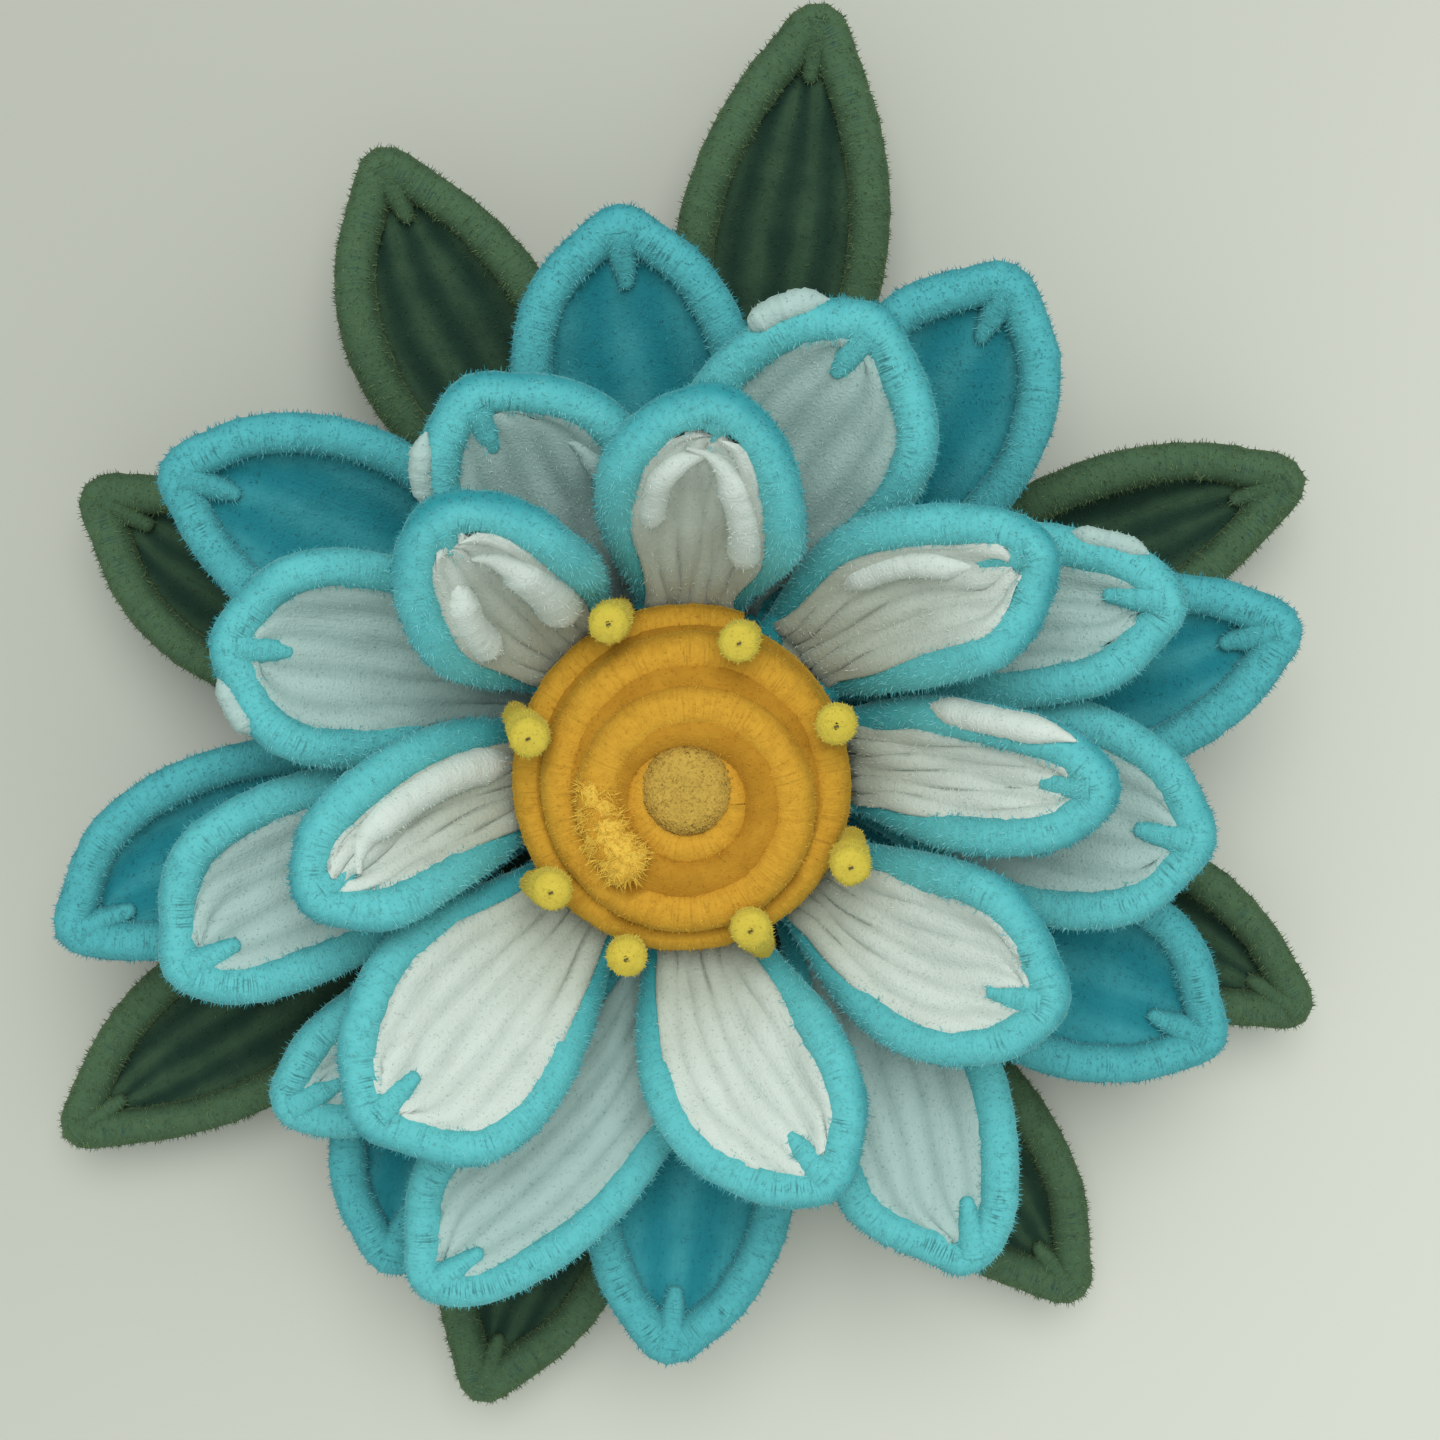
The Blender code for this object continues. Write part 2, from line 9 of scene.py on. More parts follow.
import bpy
import numpy as np
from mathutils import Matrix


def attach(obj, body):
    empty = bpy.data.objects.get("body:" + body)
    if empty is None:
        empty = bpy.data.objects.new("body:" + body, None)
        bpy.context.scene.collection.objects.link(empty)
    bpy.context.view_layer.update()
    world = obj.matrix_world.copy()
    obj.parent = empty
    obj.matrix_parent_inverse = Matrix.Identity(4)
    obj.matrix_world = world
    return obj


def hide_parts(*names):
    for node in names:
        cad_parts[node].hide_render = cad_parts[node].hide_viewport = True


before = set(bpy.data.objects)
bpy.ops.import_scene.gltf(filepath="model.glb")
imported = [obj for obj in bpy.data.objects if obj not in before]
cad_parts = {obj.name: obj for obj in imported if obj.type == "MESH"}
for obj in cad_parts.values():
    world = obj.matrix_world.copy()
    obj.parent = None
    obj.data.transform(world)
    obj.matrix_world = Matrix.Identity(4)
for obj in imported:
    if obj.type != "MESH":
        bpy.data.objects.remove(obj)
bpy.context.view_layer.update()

# Chenille stem
PILE_RADIUS = 0.0026  # a stem's dense pile, free of its neighbours
TIED_RADIUS = 0.0020  # the same pile squeezed where the stems are tied to the hub
SWELL_SHARES = (0.05, 0.30)  # it swells out between these shares of a rim's length
STEM_SPACING = 0.0012  # between the rings of a stem's mesh
STEM_ROUND = 4  # a stem's mesh has 2 * (4 + 2) sides
PILE_WOBBLE = 0.00006  # how unevenly the pile is cut
UNEVEN_RINGS = 9  # a rim's thickness changes over this many rings,
UNEVEN_PILE = 0.028  # by about this share
DOME_STEPS = 4  # rings of a stem's rounded end
DOME_LENGTH = 0.8  # of that end, as a share of the radius
DOME_POINT = 0.05  # the share of the radius that its last ring keeps
BEND_STEP = (0.62, 0.95)  # along a rim, where its bend begins to part the pile
TOP_STEP = (0.80, 1.0)  # the pile parts on the top of a stem alone

# Fine fibres that stand out of the cut pile
FIBRES_PER_MM2 = 1.45
MM2_PER_M2 = 1e6
TINY_LENGTH = 1e-12  # nothing is divided by less
TINY_AREA = 1e-15
TINY_STEP = 1e-6  # the last run ends just short of a whole number
FIBRE_REACH = 0.00072
FIBRE_LENGTHS = (0.45, 1.25)  # the shortest and the longest, as shares of the reach
FIBRE_ROOT = 0.00010  # radius at the root
FIBRE_SINK = 0.00020
FIBRE_ROOT_HIGHLIGHT = 0.35  # painted highlight of a fibre's root, as a share of its end's
UNDERSIDE_SHARE = 0.06  # of the fibres on faces that look down
UNDERSIDE_STEP = (-0.4, 0.1)  # from such a face to one that looks aside

# How the pile of each sub-part grows: a share of that density, the reach and how far the
# fibres lean any way
Growth = namedtuple("Growth", "density reach tilt")
RIM_PILE = Growth(1.9, FIBRE_REACH, 0.40)
WHITE_PILE = Growth(0.8, 0.00050, 0.40)
INSIDE_PILE = Growth(0.6, FIBRE_REACH, 0.40)
COIL_PILE = Growth(1.2, 0.0005, 0.40)
FRAY_PILE = Growth(3.0, 0.0016, 0.9)
PAD_PILE = Growth(1.6, 0.0005, 1.3)
STAMEN_PILE = Growth(2.4, 0.0004, 0.25)
TAIL_PILE = Growth(0.3, FIBRE_REACH, 0.40)

# Filling between the rims. A step holds the shares of the length where it starts and ends.
FILL_THICKNESS = 0.0022
FILL_ROWS = 34
FILL_COLUMNS = 5  # in each run
FILL_TUCK = 0.20  # it reaches under the rim, to this share of the pile's radius
ROW_CROWDING = 0.94  # its mesh's rows lie a little closer together near the tip
END_OPENING = 0.0040  # it ends where the rim leaves less room than this
ROOT_HALF_STEP = (0.25, 0.50)  # it loses its width beside the coil
GROOVE_DEPTH = 0.00042
GROOVE_FADE = 0.72  # this share of the grooves' depth fades towards the tip
GROOVE_STEP = (0.40, 0.80)
GROOVE_CREST = 0.58  # how lit the bottom of a groove is
RUN_HEIGHTS = (0.6, 1.2)  # the lowest and the highest run, as shares of the depth
RUN_SWELL = 0.0004  # each run rises and falls by this
SWELL_TURN = 330.0  # radians of that wave in a metre,
RUN_TURN = 2.1  # and from one run to the next
RIDE_LIFT = 0.0022  # it rides over the rim of the next ring near the hub
RIDE_START = (0.0030, 0.0065)  # distances from the hub
RIDE_STEP = (0.30, 0.62)
SINK_STEP = (0.15, 0.50)  # it comes to its own depth below the rim's core
FRINGE = 0.00045  # its ragged end is two waves,
FRINGE_TURN = 23.0  # of so many radians in half its width
FINE_FRINGE = 0.0003
FINE_FRINGE_TURN = 51.0
LEAF_INSIDE = 0.66  # how lit the filling of a leaf is
OUTER_INSIDE = 0.62  # and of an outer petal

# Looks of the pile. A step is where a smooth step starts and where it ends.
MOTTLE_SIZE = 0.0045
CLUMP_SIZE = 0.0012
GRAIN_SIZE = 0.00035
CREST_MOTTLING = 0.35  # how far the mottling moves the edge of the lit tone
ROOT_MOTTLING = 0.15  # and of the root tone, painted shade by the hub
LIT_STEP = (0.32, 1.00)  # of the crest, from the painted shade to the painted light
ROOT_STEP = (0.08, 0.66)  # of the share along, from the root tone, painted shade by the hub, to the petal's own
# The streaking is painted shade in the lengthwise folds of the pile, strongest by the hub
STREAK_PLACE = (5.0, 0.3)  # the streaks' scale along a petal, and a fixed slice of noise
STREAK_SCALE = 1.1
STREAK_STEP = (0.40, 0.85)
FAR_STREAKS = 0.35  # the painted streak shade's strength away from the root
BRISTLE_SCALE = 3.2
BRISTLE_STEP = (0.40, 0.75)
CLUMP_STEP = (0.30, 0.80)
PATCH_AND_SHADE_TONE = 0.75  # random patches, and the painted shade of the streaking, have this share of the root tone
LOW_HIGHLIGHT = 0.12  # painted highlight of a fibre's end low in the pile,
CREST_HIGHLIGHT = 0.48  # and so much more on a lit crest
HIGHLIGHT_STEP = (0.30, 0.90)
PARTED_STEP = (0.42, 0.60)  # of the mottling, where the pile parts
SPECK_STEP = (0.58, 0.68)  # of the bristles, where a speck shows
SPECK_EASE = 0.10  # parted pile shows specks this much sooner
SPECK_STRENGTH = 0.60
PILE_ROUGHNESS = 0.84
GRAIN_ROUGHNESS = 0.14  # and the grain adds up to this
BUMP_STRENGTH = 0.55
BUMP_DEPTH = 0.0003
GRAIN_BUMP = 0.8
BRISTLE_BUMP = 0.5
CLUMP_BUMP = 0.4
PILE_SPECULAR = 0.10
PILE_SHEEN = 0.50  # a velvet sheen
SHEEN_ROUGHNESS = 0.40

# Colours of the pile: painted light on its crests, painted shade in its grooves and on its
# flanks, painted shade by the hub, the fibres' ends with a painted highlight (also the
# sheen's tint), the specks where a bend parts it, and how strong the painted shade of the
# lengthwise streaking and the patches are
Pile = namedtuple("Pile", "lit deep root tip bare streaks mottling")
DARK_SPECK = (0.02, 0.06, 0.07)
PILES = {
    "teal": Pile((0.126, 0.515, 0.530), (0.024, 0.262, 0.300), (0.030, 0.280, 0.310),
                 (0.400, 0.760, 0.750), DARK_SPECK, 0.0, 0.14),
    "deep_teal": Pile((0.090, 0.430, 0.455), (0.018, 0.225, 0.270), (0.016, 0.195, 0.230),
                      (0.280, 0.640, 0.650), DARK_SPECK, 0.15, 0.14),
    "white": Pile((0.600, 0.675, 0.620), (0.470, 0.550, 0.500), (0.375, 0.415, 0.330),
                  (0.720, 0.770, 0.720), (0.30, 0.30, 0.22), 0.38, 0.04),
    # the same white stem, with painted shade and a painted teal reflection, for the middle ring
    "shaded_white": Pile((0.400, 0.545, 0.510), (0.270, 0.400, 0.375), (0.200, 0.300, 0.275),
                         (0.560, 0.680, 0.640), (0.25, 0.28, 0.25), 0.36, 0.04),
    "green": Pile((0.070, 0.135, 0.070), (0.014, 0.040, 0.027), (0.018, 0.048, 0.033),
                  (0.300, 0.400, 0.170), DARK_SPECK, 0.2, 0.14),
    "golden": Pile((0.610, 0.330, 0.034), (0.370, 0.165, 0.013), (0.390, 0.175, 0.013),
                   (0.900, 0.660, 0.110), (0.14, 0.06, 0.01), 0.0, 0.24),
    "straw": Pile((0.540, 0.360, 0.070), (0.380, 0.220, 0.034), (0.470, 0.300, 0.055),
                  (0.680, 0.520, 0.150), (0.16, 0.09, 0.02), 0.0, 0.14),
    "yellow": Pile((0.610, 0.490, 0.066), (0.450, 0.340, 0.036), (0.400, 0.290, 0.030),
                   (0.730, 0.620, 0.160), DARK_SPECK, 0.0, 0.14),
}
DARK_WIRE = (0.05, 0.045, 0.03)
PALE_WIRE = (0.16, 0.13, 0.08)
TARNISH_SIZE = 0.0003
WIRE_ROUGHNESS = 0.35
TARNISH_ROUGHNESS = 0.3  # and the tarnish adds up to this
WIRE_METAL = 0.8

# Where the rings are tied to the hub, above its flat foot
HUB_RADIUS = 0.0167
LEAF_HEIGHT = 0.0050
OUTER_HEIGHT = 0.0118
MIDDLE_HEIGHT = 0.0185
INNER_HEIGHT = 0.0264
SEAT_GAP = 0.0003

# Golden centre
COIL_PILE_RADIUS = 0.0026
COIL_OUTER_RADIUS = 0.0192
COIL_PITCH = 0.0045  # how far a turn lies inside the one before
COIL_TURN_RISE = 0.0032  # and above it
COIL_TUCK_TURNS = 0.45  # the outer end runs this far under the turn above it
COIL_TUCK_RISE = 0.0034
COIL_TURNS = 2.42
COIL_RINGS = 84  # of its mesh in a turn
COIL_TAIL_ANGLE = 222.0  # where the inner end lies on top
COIL_BASE_HEIGHT = INNER_HEIGHT + 0.0050
COIL_DRIFT = -0.0019  # the inner turns lie this much towards -Y,
DRIFT_TURNS = (0.8, 1.9)  # coming to it between these turns
COIL_WAVE = 0.00012  # the stem rises and falls by this,
COIL_WAVES = 9.0  # so many times a turn
COIL_BARE = 0.35  # how far its pile parts
COIL_LOOSE_RADIUS = 0.0029  # where the pile isn't pressed by a neighbour
BED_RADIUS = 0.0205
BED_RISE = 0.0119
BED_FOOT = 0.0012  # how far it reaches down
BED_HOLLOW = 0.0060  # its depth inside the hole
BED_SIDES = 64
# painted part shade on the bed between the coil's turns
BED_CREST = 0.60
HOLE_RADIUS = 0.0085
HOLE_FLOOR = 0.6  # the hollow is level over this share of the hole's radius
FRAY_RINGS = 14  # the frayed end is as long as so many rings of the coil
FRAY_RADII = (0.0024, 0.0031)
FRAY_LIFT = 0.0003
FRAY_ROUGHNESS = 0.0002
# Painted light on the frayed end: the lit tone and the fibres' highlight all over
FRAY_CREST = 1.3
FRAY_HIGHLIGHT = 0.9
LOWER_TURN_RADIUS = 0.0058
LOWER_TURN_DROP = 0.0026
LOWER_TURN_RINGS = 60
LOWER_TURN_BARE = 0.3
PAD_RADIUS = 0.0058
PAD_THICKNESS = 0.0040
PAD_DROP = 0.0014  # its crown below the crest of the coil
PAD_SUBDIVISIONS = 6
PAD_DIMPLE = 0.10  # depth of its dimple, as a share of its thickness
DIMPLE_WIDTH = 0.5  # and its width, as a share of the radius
PAD_WOBBLE = 0.00008
PAD_CREST = 0.4  # how lit its edge is
PAD_BARE = 0.15

# Stem tails of the hub: how many lie in each ring, the ring's radius and the pile's
TAIL_RINGS = (
    (14, 0.0136, 0.0030),
    (8, 0.0078, 0.0029),
    (3, 0.0031, 0.0027),
)
TAIL_TWIST = 40.0  # degrees from the foot to the top
TAIL_SAMPLES = 24
TAIL_ALONG = 0.5  # its painted shade by the hub is that of the middle of a petal
TAIL_BARE = 0.2

# Petals
MM = 0.001  # a millimetre, the unit of the petals' rows
SPINE_SAMPLES = 120
LEVEL_RUN = 0.0058  # a petal stays level for this far beside the hub
CURL_POWER = 5  # the curl is all in the last third
LEAST_BOW = 0.01  # no face is quite flat across
OUTLINE_SAMPLES = 500
ROOM_SAMPLES = 400
END_SAMPLES = 200
END_SEARCH = 0.4  # the filling's end is looked for beyond this share
SMOOTHINGS = 4  # of the rim's route
TIP_PINCH = 0.0013  # the loop's fold stands out this far as a point
TIP_PINCH_WIDTH = 0.0030
TIP_NOTCH = 0.0042  # the white is this much shorter where the fold stands in
NOTCH_WIDTH = 0.20  # in half widths of the filling, as is the next
NOTCH_LIMIT = 0.6  # the notch lies this near the middle line

# What the random draws of each sub-part start from
LEAF_SEED = 100
OUTER_SEED = 200
MIDDLE_SEED = 300
INNER_SEED = 500
COIL_SEED = 700
PAD_SEED = 710
STAMEN_SEED = 720
STAMEN_PILE_SEED = 740
TAIL_SEED = 760
INSIDE_SEED = 50  # added for the pile inside a rim

# The setting
FLOOR_SIZE = 4.0
FLOOR_LIGHT_FADE = 0.26  # painted light: the floor grows lighter over this far to each side, towards +X and -Y
FLOOR_SHADED = (0.430, 0.440, 0.388)
FLOOR_LIT = (0.640, 0.660, 0.580)
FLOOR_ROUGHNESS = 0.9
FLOOR_SPECULAR = 0.1
LAMP_PLACE = (0.06, 0.60, 1.33)
LAMP_TURN = (-24, 0, -6)  # degrees about X, Y and Z
LAMP_SIZE = 1.1
LAMP_POWER = 14.0
SURROUND = (0.95, 1.0, 0.98)
SURROUND_STRENGTH = 0.64
CAMERA_PLACE = (0.0041, 0.0495, 0.3321)
CAMERA_TILT = -8.0
SENSOR_WIDTH = 36.0
LENS = 60.0
NEAREST = 0.01
TIP_NOTCH = 0.0042  # the white is this much shorter where the fold stands in

# A ring's shared form. tied_width is half the distance between the two tied stems, blunt
# is how full a tip is (1 is a wedge, 2 an ellipse), runs how many runs fill it, root_half
# half the filling's width beside the coil and sink how far it lies below the rim's core, or
# above it if negative.
Ring = namedtuple("Ring", "height tied_width blunt runs root_half sink")
LEAF_RING = Ring(LEAF_HEIGHT, 0.0020, 1.15, 4, 0.0, 0.0012)
OUTER_RING = Ring(OUTER_HEIGHT, 0.0024, 1.35, 3, 0.0, 0.0010)
MIDDLE_RING = Ring(MIDDLE_HEIGHT, 0.0032, 1.6, 5, 0.0040, -0.0010)
INNER_RING = Ring(INNER_HEIGHT, 0.0044, 1.6, 6, 0.0056, -0.0012)

# One row a petal, in degrees and millimetres: the angles of its root and its tip, how far
# its tip reaches from the flower's axis, the widths of its two sides at the shares of its
# length in STATIONS (anticlockwise of its middle line, then clockwise), how far aside the
# fold at its tip lies, its tip's height, how far its edges are cupped up and how far its
# last third is curled up. All are places of the rim stem's core.
Petal = namedtuple("Petal", "number root tip reach ahead behind fold tip_height cup curl")
STATIONS = (0.30, 0.60, 0.85)

LEAVES = (
    Petal(1, 79, 80, 96.5, (6, 12, 8), (6, 11.5, 7.5), 0, 14, 4, 0),
    Petal(2, 28, 25, 86.5, (6, 10.5, 7.5), (6, 10, 6.5), 0, 14, 4, 0),
    Petal(3, -16, -23, 89.5, (6, 10, 7), (6, 9.5, 6.5), 0, 12, 4, 0),
    Petal(4, -58, -55, 92, (6, 11, 8.5), (6, 10, 7), 0, 10, 3, 0),
    Petal(5, -107, -108, 94.5, (6, 11.5, 8.5), (6, 11, 8), 0, 10, 3, 0),
    Petal(6, -150, -148, 99.5, (6, 10.5, 7), (6, 11, 8), 0, 10, 3, 0),
    Petal(7, 162, 156, 84.5, (6, 12.5, 9.5), (6, 10.5, 6.5), 0, 14, 4, 0),
    Petal(8, 119, 117, 86, (6, 13, 10), (6, 11, 7.5), 0, 16, 4.5, 0),
)
OUTER_PETALS = (
    Petal(1, 97, 97, 68.5, (6, 13.5, 12), (6, 12.5, 10), 0, 30, 4.5, 0),
    Petal(2, 52, 57, 72.5, (6, 13, 12), (6, 12, 10), 0, 30, 4.5, 0),
    Petal(3, 10, 14, 77, (6, 11, 8), (6, 11, 8), 0, 28, 3.5, 0),
    Petal(4, -32, -27, 76, (6, 12.5, 12), (6, 11.5, 9), -1, 25, 3.5, 0),
    Petal(5, -88, -92, 78, (6, 12, 9), (6, 12, 9), 0, 24, 3, 0),
    Petal(6, -130, -121, 76.5, (6, 11, 8.5), (6, 12, 10), 0, 24, 3, 0),
    Petal(7, -172, -166, 82, (6, 10.5, 7), (6, 12.5, 10.5), 1.5, 26, 3.5, 0),
    Petal(8, 142, 149, 73.5, (6, 12.5, 9), (6, 13, 10), 0, 30, 4.5, 0),
)
MIDDLE_PETALS = (
    Petal(1, 118, 114, 53, (7, 12.5, 12), (7, 12.5, 12.5), 4, 45, 5, 0),
    Petal(2, 76, 67, 59, (7, 13.5, 12), (7, 12.5, 12.5), 2, 44, 4.5, 0),
    Petal(3, 38, 20, 61, (7, 10, 8), (7, 10, 8.5), 3, 41, 4, 0),
    Petal(4, -4, -6, 62.5, (7, 12.5, 10.5), (7, 12, 11), 0, 39, 3.5, 0),
    Petal(5, -46, -62, 69, (7, 10, 9), (7, 11.5, 10.5), 4.5, 36, 3, 0),
    Petal(6, -94, -119, 70.5, (7, 10, 9), (7, 10.5, 10), 4, 35, 3, 0),
    Petal(7, -130, -140, 66, (5, 7.5, 6), (5, 7.5, 7), 0, 32, 2, 0),
    Petal(8, -168, -163, 66.5, (7, 10.5, 10), (5.5, 11, 11), 4, 39, 3.5, 0),
    Petal(9, 156, 162, 57.5, (5.5, 11, 12), (7, 12, 12.5), 0, 41, 4.5, 0),
)
COVERED_MIDDLE_PETAL = 7  # nearly hidden by its neighbours, one CAD node
INNER_PETALS = (
    Petal(1, 89, 85, 46.5, (7, 11, 11.5), (7.5, 12, 9.5), 0, 54, 6, 2),
    Petal(2, 46, 34, 49.5, (7.5, 11, 8), (7, 9, 9), 3, 52, 5, 1),
    Petal(3, 3, 2, 48.5, (6.5, 8.5, 7), (6, 8, 6.5), 0.5, 51, 4.5, 0),
    Petal(4, -42, -27, 48.5, (6.5, 10, 11), (7, 11, 9.5), -2.5, 49, 3.5, 0),
    Petal(5, -86, -70, 50, (7, 10.5, 9.5), (8, 11.5, 8), 0, 47, 3, 0),
    Petal(6, -131, -133, 54.5, (8, 12.5, 12), (8, 13, 10.5), -1, 47, 3, 0),
    Petal(7, -177, -166, 45.5, (6.5, 8, 8), (7.5, 9, 7.5), 0, 48, 4, 0),
    Petal(8, 135, 128, 43.5, (8, 11.5, 9.5), (7, 10.5, 10), 2, 53, 6, 2),
)

# How far the outer runs of some fillings are raised round their hollow, in millimetres, on
# the anticlockwise and the clockwise side. They rise from HOLLOW_SIDES, in half widths, and
# between the shares of the length in HOLLOW_START, and close the hollow over HOLLOW_END.
Bend = namedtuple("Bend", "ahead behind")
FLAT = Bend(0, 0)
BENDS = {
    "inner_fill_1": Bend(0.5, 0.8),
    "inner_fill_2": Bend(0.6, 0.3),
    "inner_fill_7": Bend(0.0, 0.9),
    "inner_fill_8": Bend(0.5, 0.9),
}
HOLLOW_SIDES = (0.25, 0.75)
HOLLOW_START = (0.30, 0.62)
HOLLOW_END = (0.62, 0.84)
HOLLOW_SHADE = 0.65  # painted shade: the hollow's tone is that of a place so much nearer the hub
HOLLOW_NOTCH = 0.0010  # the fold hardly stands into a hollowed filling

# White runs that lie beside a rim: the petal, the side (1 is anticlockwise), the shares of
# its length between which they lie, and in millimetres how far they lie outside the rim's
# core (inside it if negative) and above it, and their radius
Run = namedtuple("Run", "petal side start end offset lift radius")
WHITE_RUNS = (
    Run("middle_rim_1", 1, 0.80, 0.96, 1.9, -0.4, 1.4),
    Run("middle_rim_2", 1, 0.84, 0.98, 1.7, -0.6, 1.8),
    Run("middle_rim_3", 1, 0.78, 0.94, 1.8, -0.4, 1.3),
    Run("middle_rim_9", 1, 0.93, 1.00, 1.6, -0.6, 1.6),
    Run("inner_rim_3", 1, 0.46, 0.94, 2.0, 0.0, 1.8),
    Run("inner_rim_1", -1, 0.46, 1.00, -3.9, 2.9, 2.4),
    Run("inner_rim_1", 1, 0.60, 1.00, -4.0, 2.6, 2.0),
    Run("inner_rim_8", -1, 0.38, 0.97, -4.4, 2.9, 3.1),
    Run("inner_rim_8", 1, 0.46, 0.90, -3.9, 2.5, 2.3),
    Run("inner_rim_7", -1, 0.18, 0.99, -3.5, 2.9, 2.5),
    Run("inner_rim_2", 1, 0.45, 0.94, -4.0, 2.2, 2.1),
    Run("middle_rim_1", -1, 0.50, 0.92, -4.0, 1.8, 1.7),
)
RUN_RINGS = 36
RUN_FULLNESS = 1.6  # how soon a run comes to its full radius,
RUN_BLUNTNESS = 0.7  # how blunt it is
RUN_POINT = 0.05  # and the share that its very end keeps

# The spur that the pinched tip of a loop sends over the filling, on petals of two colours
# and of one
SPUR = 0.0056
PLAIN_SPUR = 0.0065
SPUR_RISE = 0.0014  # it lies on the white
SPUR_RINGS = 12
SPUR_OVERHANG = 0.0008  # it starts this far beyond the spine's end,
SPUR_LIFT = 0.0004  # and this far above it
SPUR_NARROWING = 0.60  # the share of its radius that it loses
SPUR_TAPER = 1.3  # more than 1 keeps it thick for longer
SPUR_ALONG = 0.95
SPUR_BARE = 0.5

# Stamens: the angle of the foot and of the head, and how far the head is from the axis
Stamen = namedtuple("Stamen", "number foot_angle head_angle head_radius")
STAMENS = (
    Stamen(1, 111, 114, 0.0228),
    Stamen(2, 68, 71, 0.0196),
    Stamen(3, 24, 25, 0.0200),
    Stamen(4, -18, -24, 0.0219),
    Stamen(5, -65, -65, 0.0185),
    Stamen(6, -109, -110, 0.0216),
    Stamen(7, -147, -144, 0.0204),
    Stamen(8, 158, 160, 0.0203),
)
STAMEN_RADIUS = 0.0025
STAMEN_FOOT_PILE = 0.0015
STAMEN_HEAD_RISE = 0.0135
STAMEN_FOOT_RISE = 0.0022
STAMEN_RISES = (0.0, 0.25, 0.58, 0.74, 1.0)  # shares of its height at five places,
STAMEN_SWINGS = (0.0, 0.0, 0.75, 1.0, 1.0)  # and of its way in over the coil
STAMEN_SPACING = 0.0006
STAMEN_SWELL = (0.2, 0.6)  # it widens between these shares of its length
STAMEN_SHOULDER = 0.96  # its last ring is this much narrower,
STAMEN_TOPS = ((0.0005, 0.72), (0.0007, 0.15))  # and two more lie above it, rounding it
# painted light: nearly the lit tone all over a stamen, and full highlights on its fibres
STAMEN_CREST = 0.9
WIRE_RADIUS = 0.00014
WIRE_LENGTH = 0.0009
WIRE_SIDES = 12
WIRE_BEVEL = 0.00006
WIRE_SLANT = 0.4  # the two ends lie aslant, by this much of their distance


# Materials

class Wire:
    """A node's output; sums and products on it add Math nodes."""

    def __init__(self, finish, socket):
        self.finish = finish
        self.socket = socket

    def maths(self, operation, first, second):
        return self.finish.node("ShaderNodeMath", {"operation": operation}, {0: first, 1: second})

    def __add__(self, other):
        return self.maths("ADD", self, other)

    def __radd__(self, other):
        return self.maths("ADD", other, self)

    def __sub__(self, other):
        return self.maths("SUBTRACT", self, other)

    def __rsub__(self, other):
        return self.maths("SUBTRACT", other, self)

    def __mul__(self, other):
        return self.maths("MULTIPLY", self, other)

    def __rmul__(self, other):
        return self.maths("MULTIPLY", other, self)


class Finish:
    """A procedural material in the making, on a piece's own coordinates."""

    def __init__(self, name):
        self.material = bpy.data.materials.new(name)
        self.material.use_nodes = True
        self.tree = self.material.node_tree
        self.surface = self.tree.nodes["Principled BSDF"]
        self.place = self.node("ShaderNodeTexCoord", output="Object")

    def feed(self, socket, value):
        """Link a wire to a socket, or set the socket's own value."""
        if isinstance(value, Wire):
            self.tree.links.new(value.socket, socket)
        else:
            socket.default_value = value

    def node(self, kind, settings=None, sockets=None, output=0):
        """A node of a kind: its settings are set first, then its sockets are fed."""
        made = self.tree.nodes.new(kind)
        for name, value in (settings or {}).items():
            setattr(made, name, value)
        for key, value in (sockets or {}).items():
            self.feed(made.inputs[key], value)
        return Wire(self, made.outputs[output])

    def noise(self, lump, detail=2.0):
        """Noise between 0 and 1 with lumps of a size in metres."""
        sockets = {"Vector": self.place, "Scale": 1.0 / lump, "Detail": detail}
        return self.node("ShaderNodeTexNoise", None, sockets)

    def attribute(self, name):
        """A number that the mesh holds for each vertex."""
        return self.node("ShaderNodeAttribute", {"attribute_name": name}, output="Fac")

    def step(self, value, low, high):
        """A smooth step from 0 at low to 1 at high."""
        return self.node("ShaderNodeMapRange", {"interpolation_type": "SMOOTHSTEP"},
                         {"Value": value, "From Min": low, "From Max": high})

    def mixed(self, factor, first, second):
        """A colour between two."""
        return self.node("ShaderNodeMix", {"data_type": "RGBA"},
                         {0: factor, 6: first, 7: second}, output=2)

    def noise_at(self, x, y, z, scale, detail):
        """Noise between 0 and 1 at a place that three numbers give."""
        place = self.node("ShaderNodeCombineXYZ", None, {"X": x, "Y": y, "Z": z})
        sockets = {"Vector": place, "Scale": scale, "Detail": detail}
        return self.node("ShaderNodeTexNoise", None, sockets)

    def dress(self, sockets):
        """Feed the surface, and give back the finished material."""
        for key, value in sockets.items():
            self.feed(self.surface.inputs[key], value)
        return self.material


def opaque(colour, share=1.0):
    """A colour, made darker or lighter by a share, with no see-through."""
    return tuple(min(1.0, part * share) for part in colour) + (1.0,)


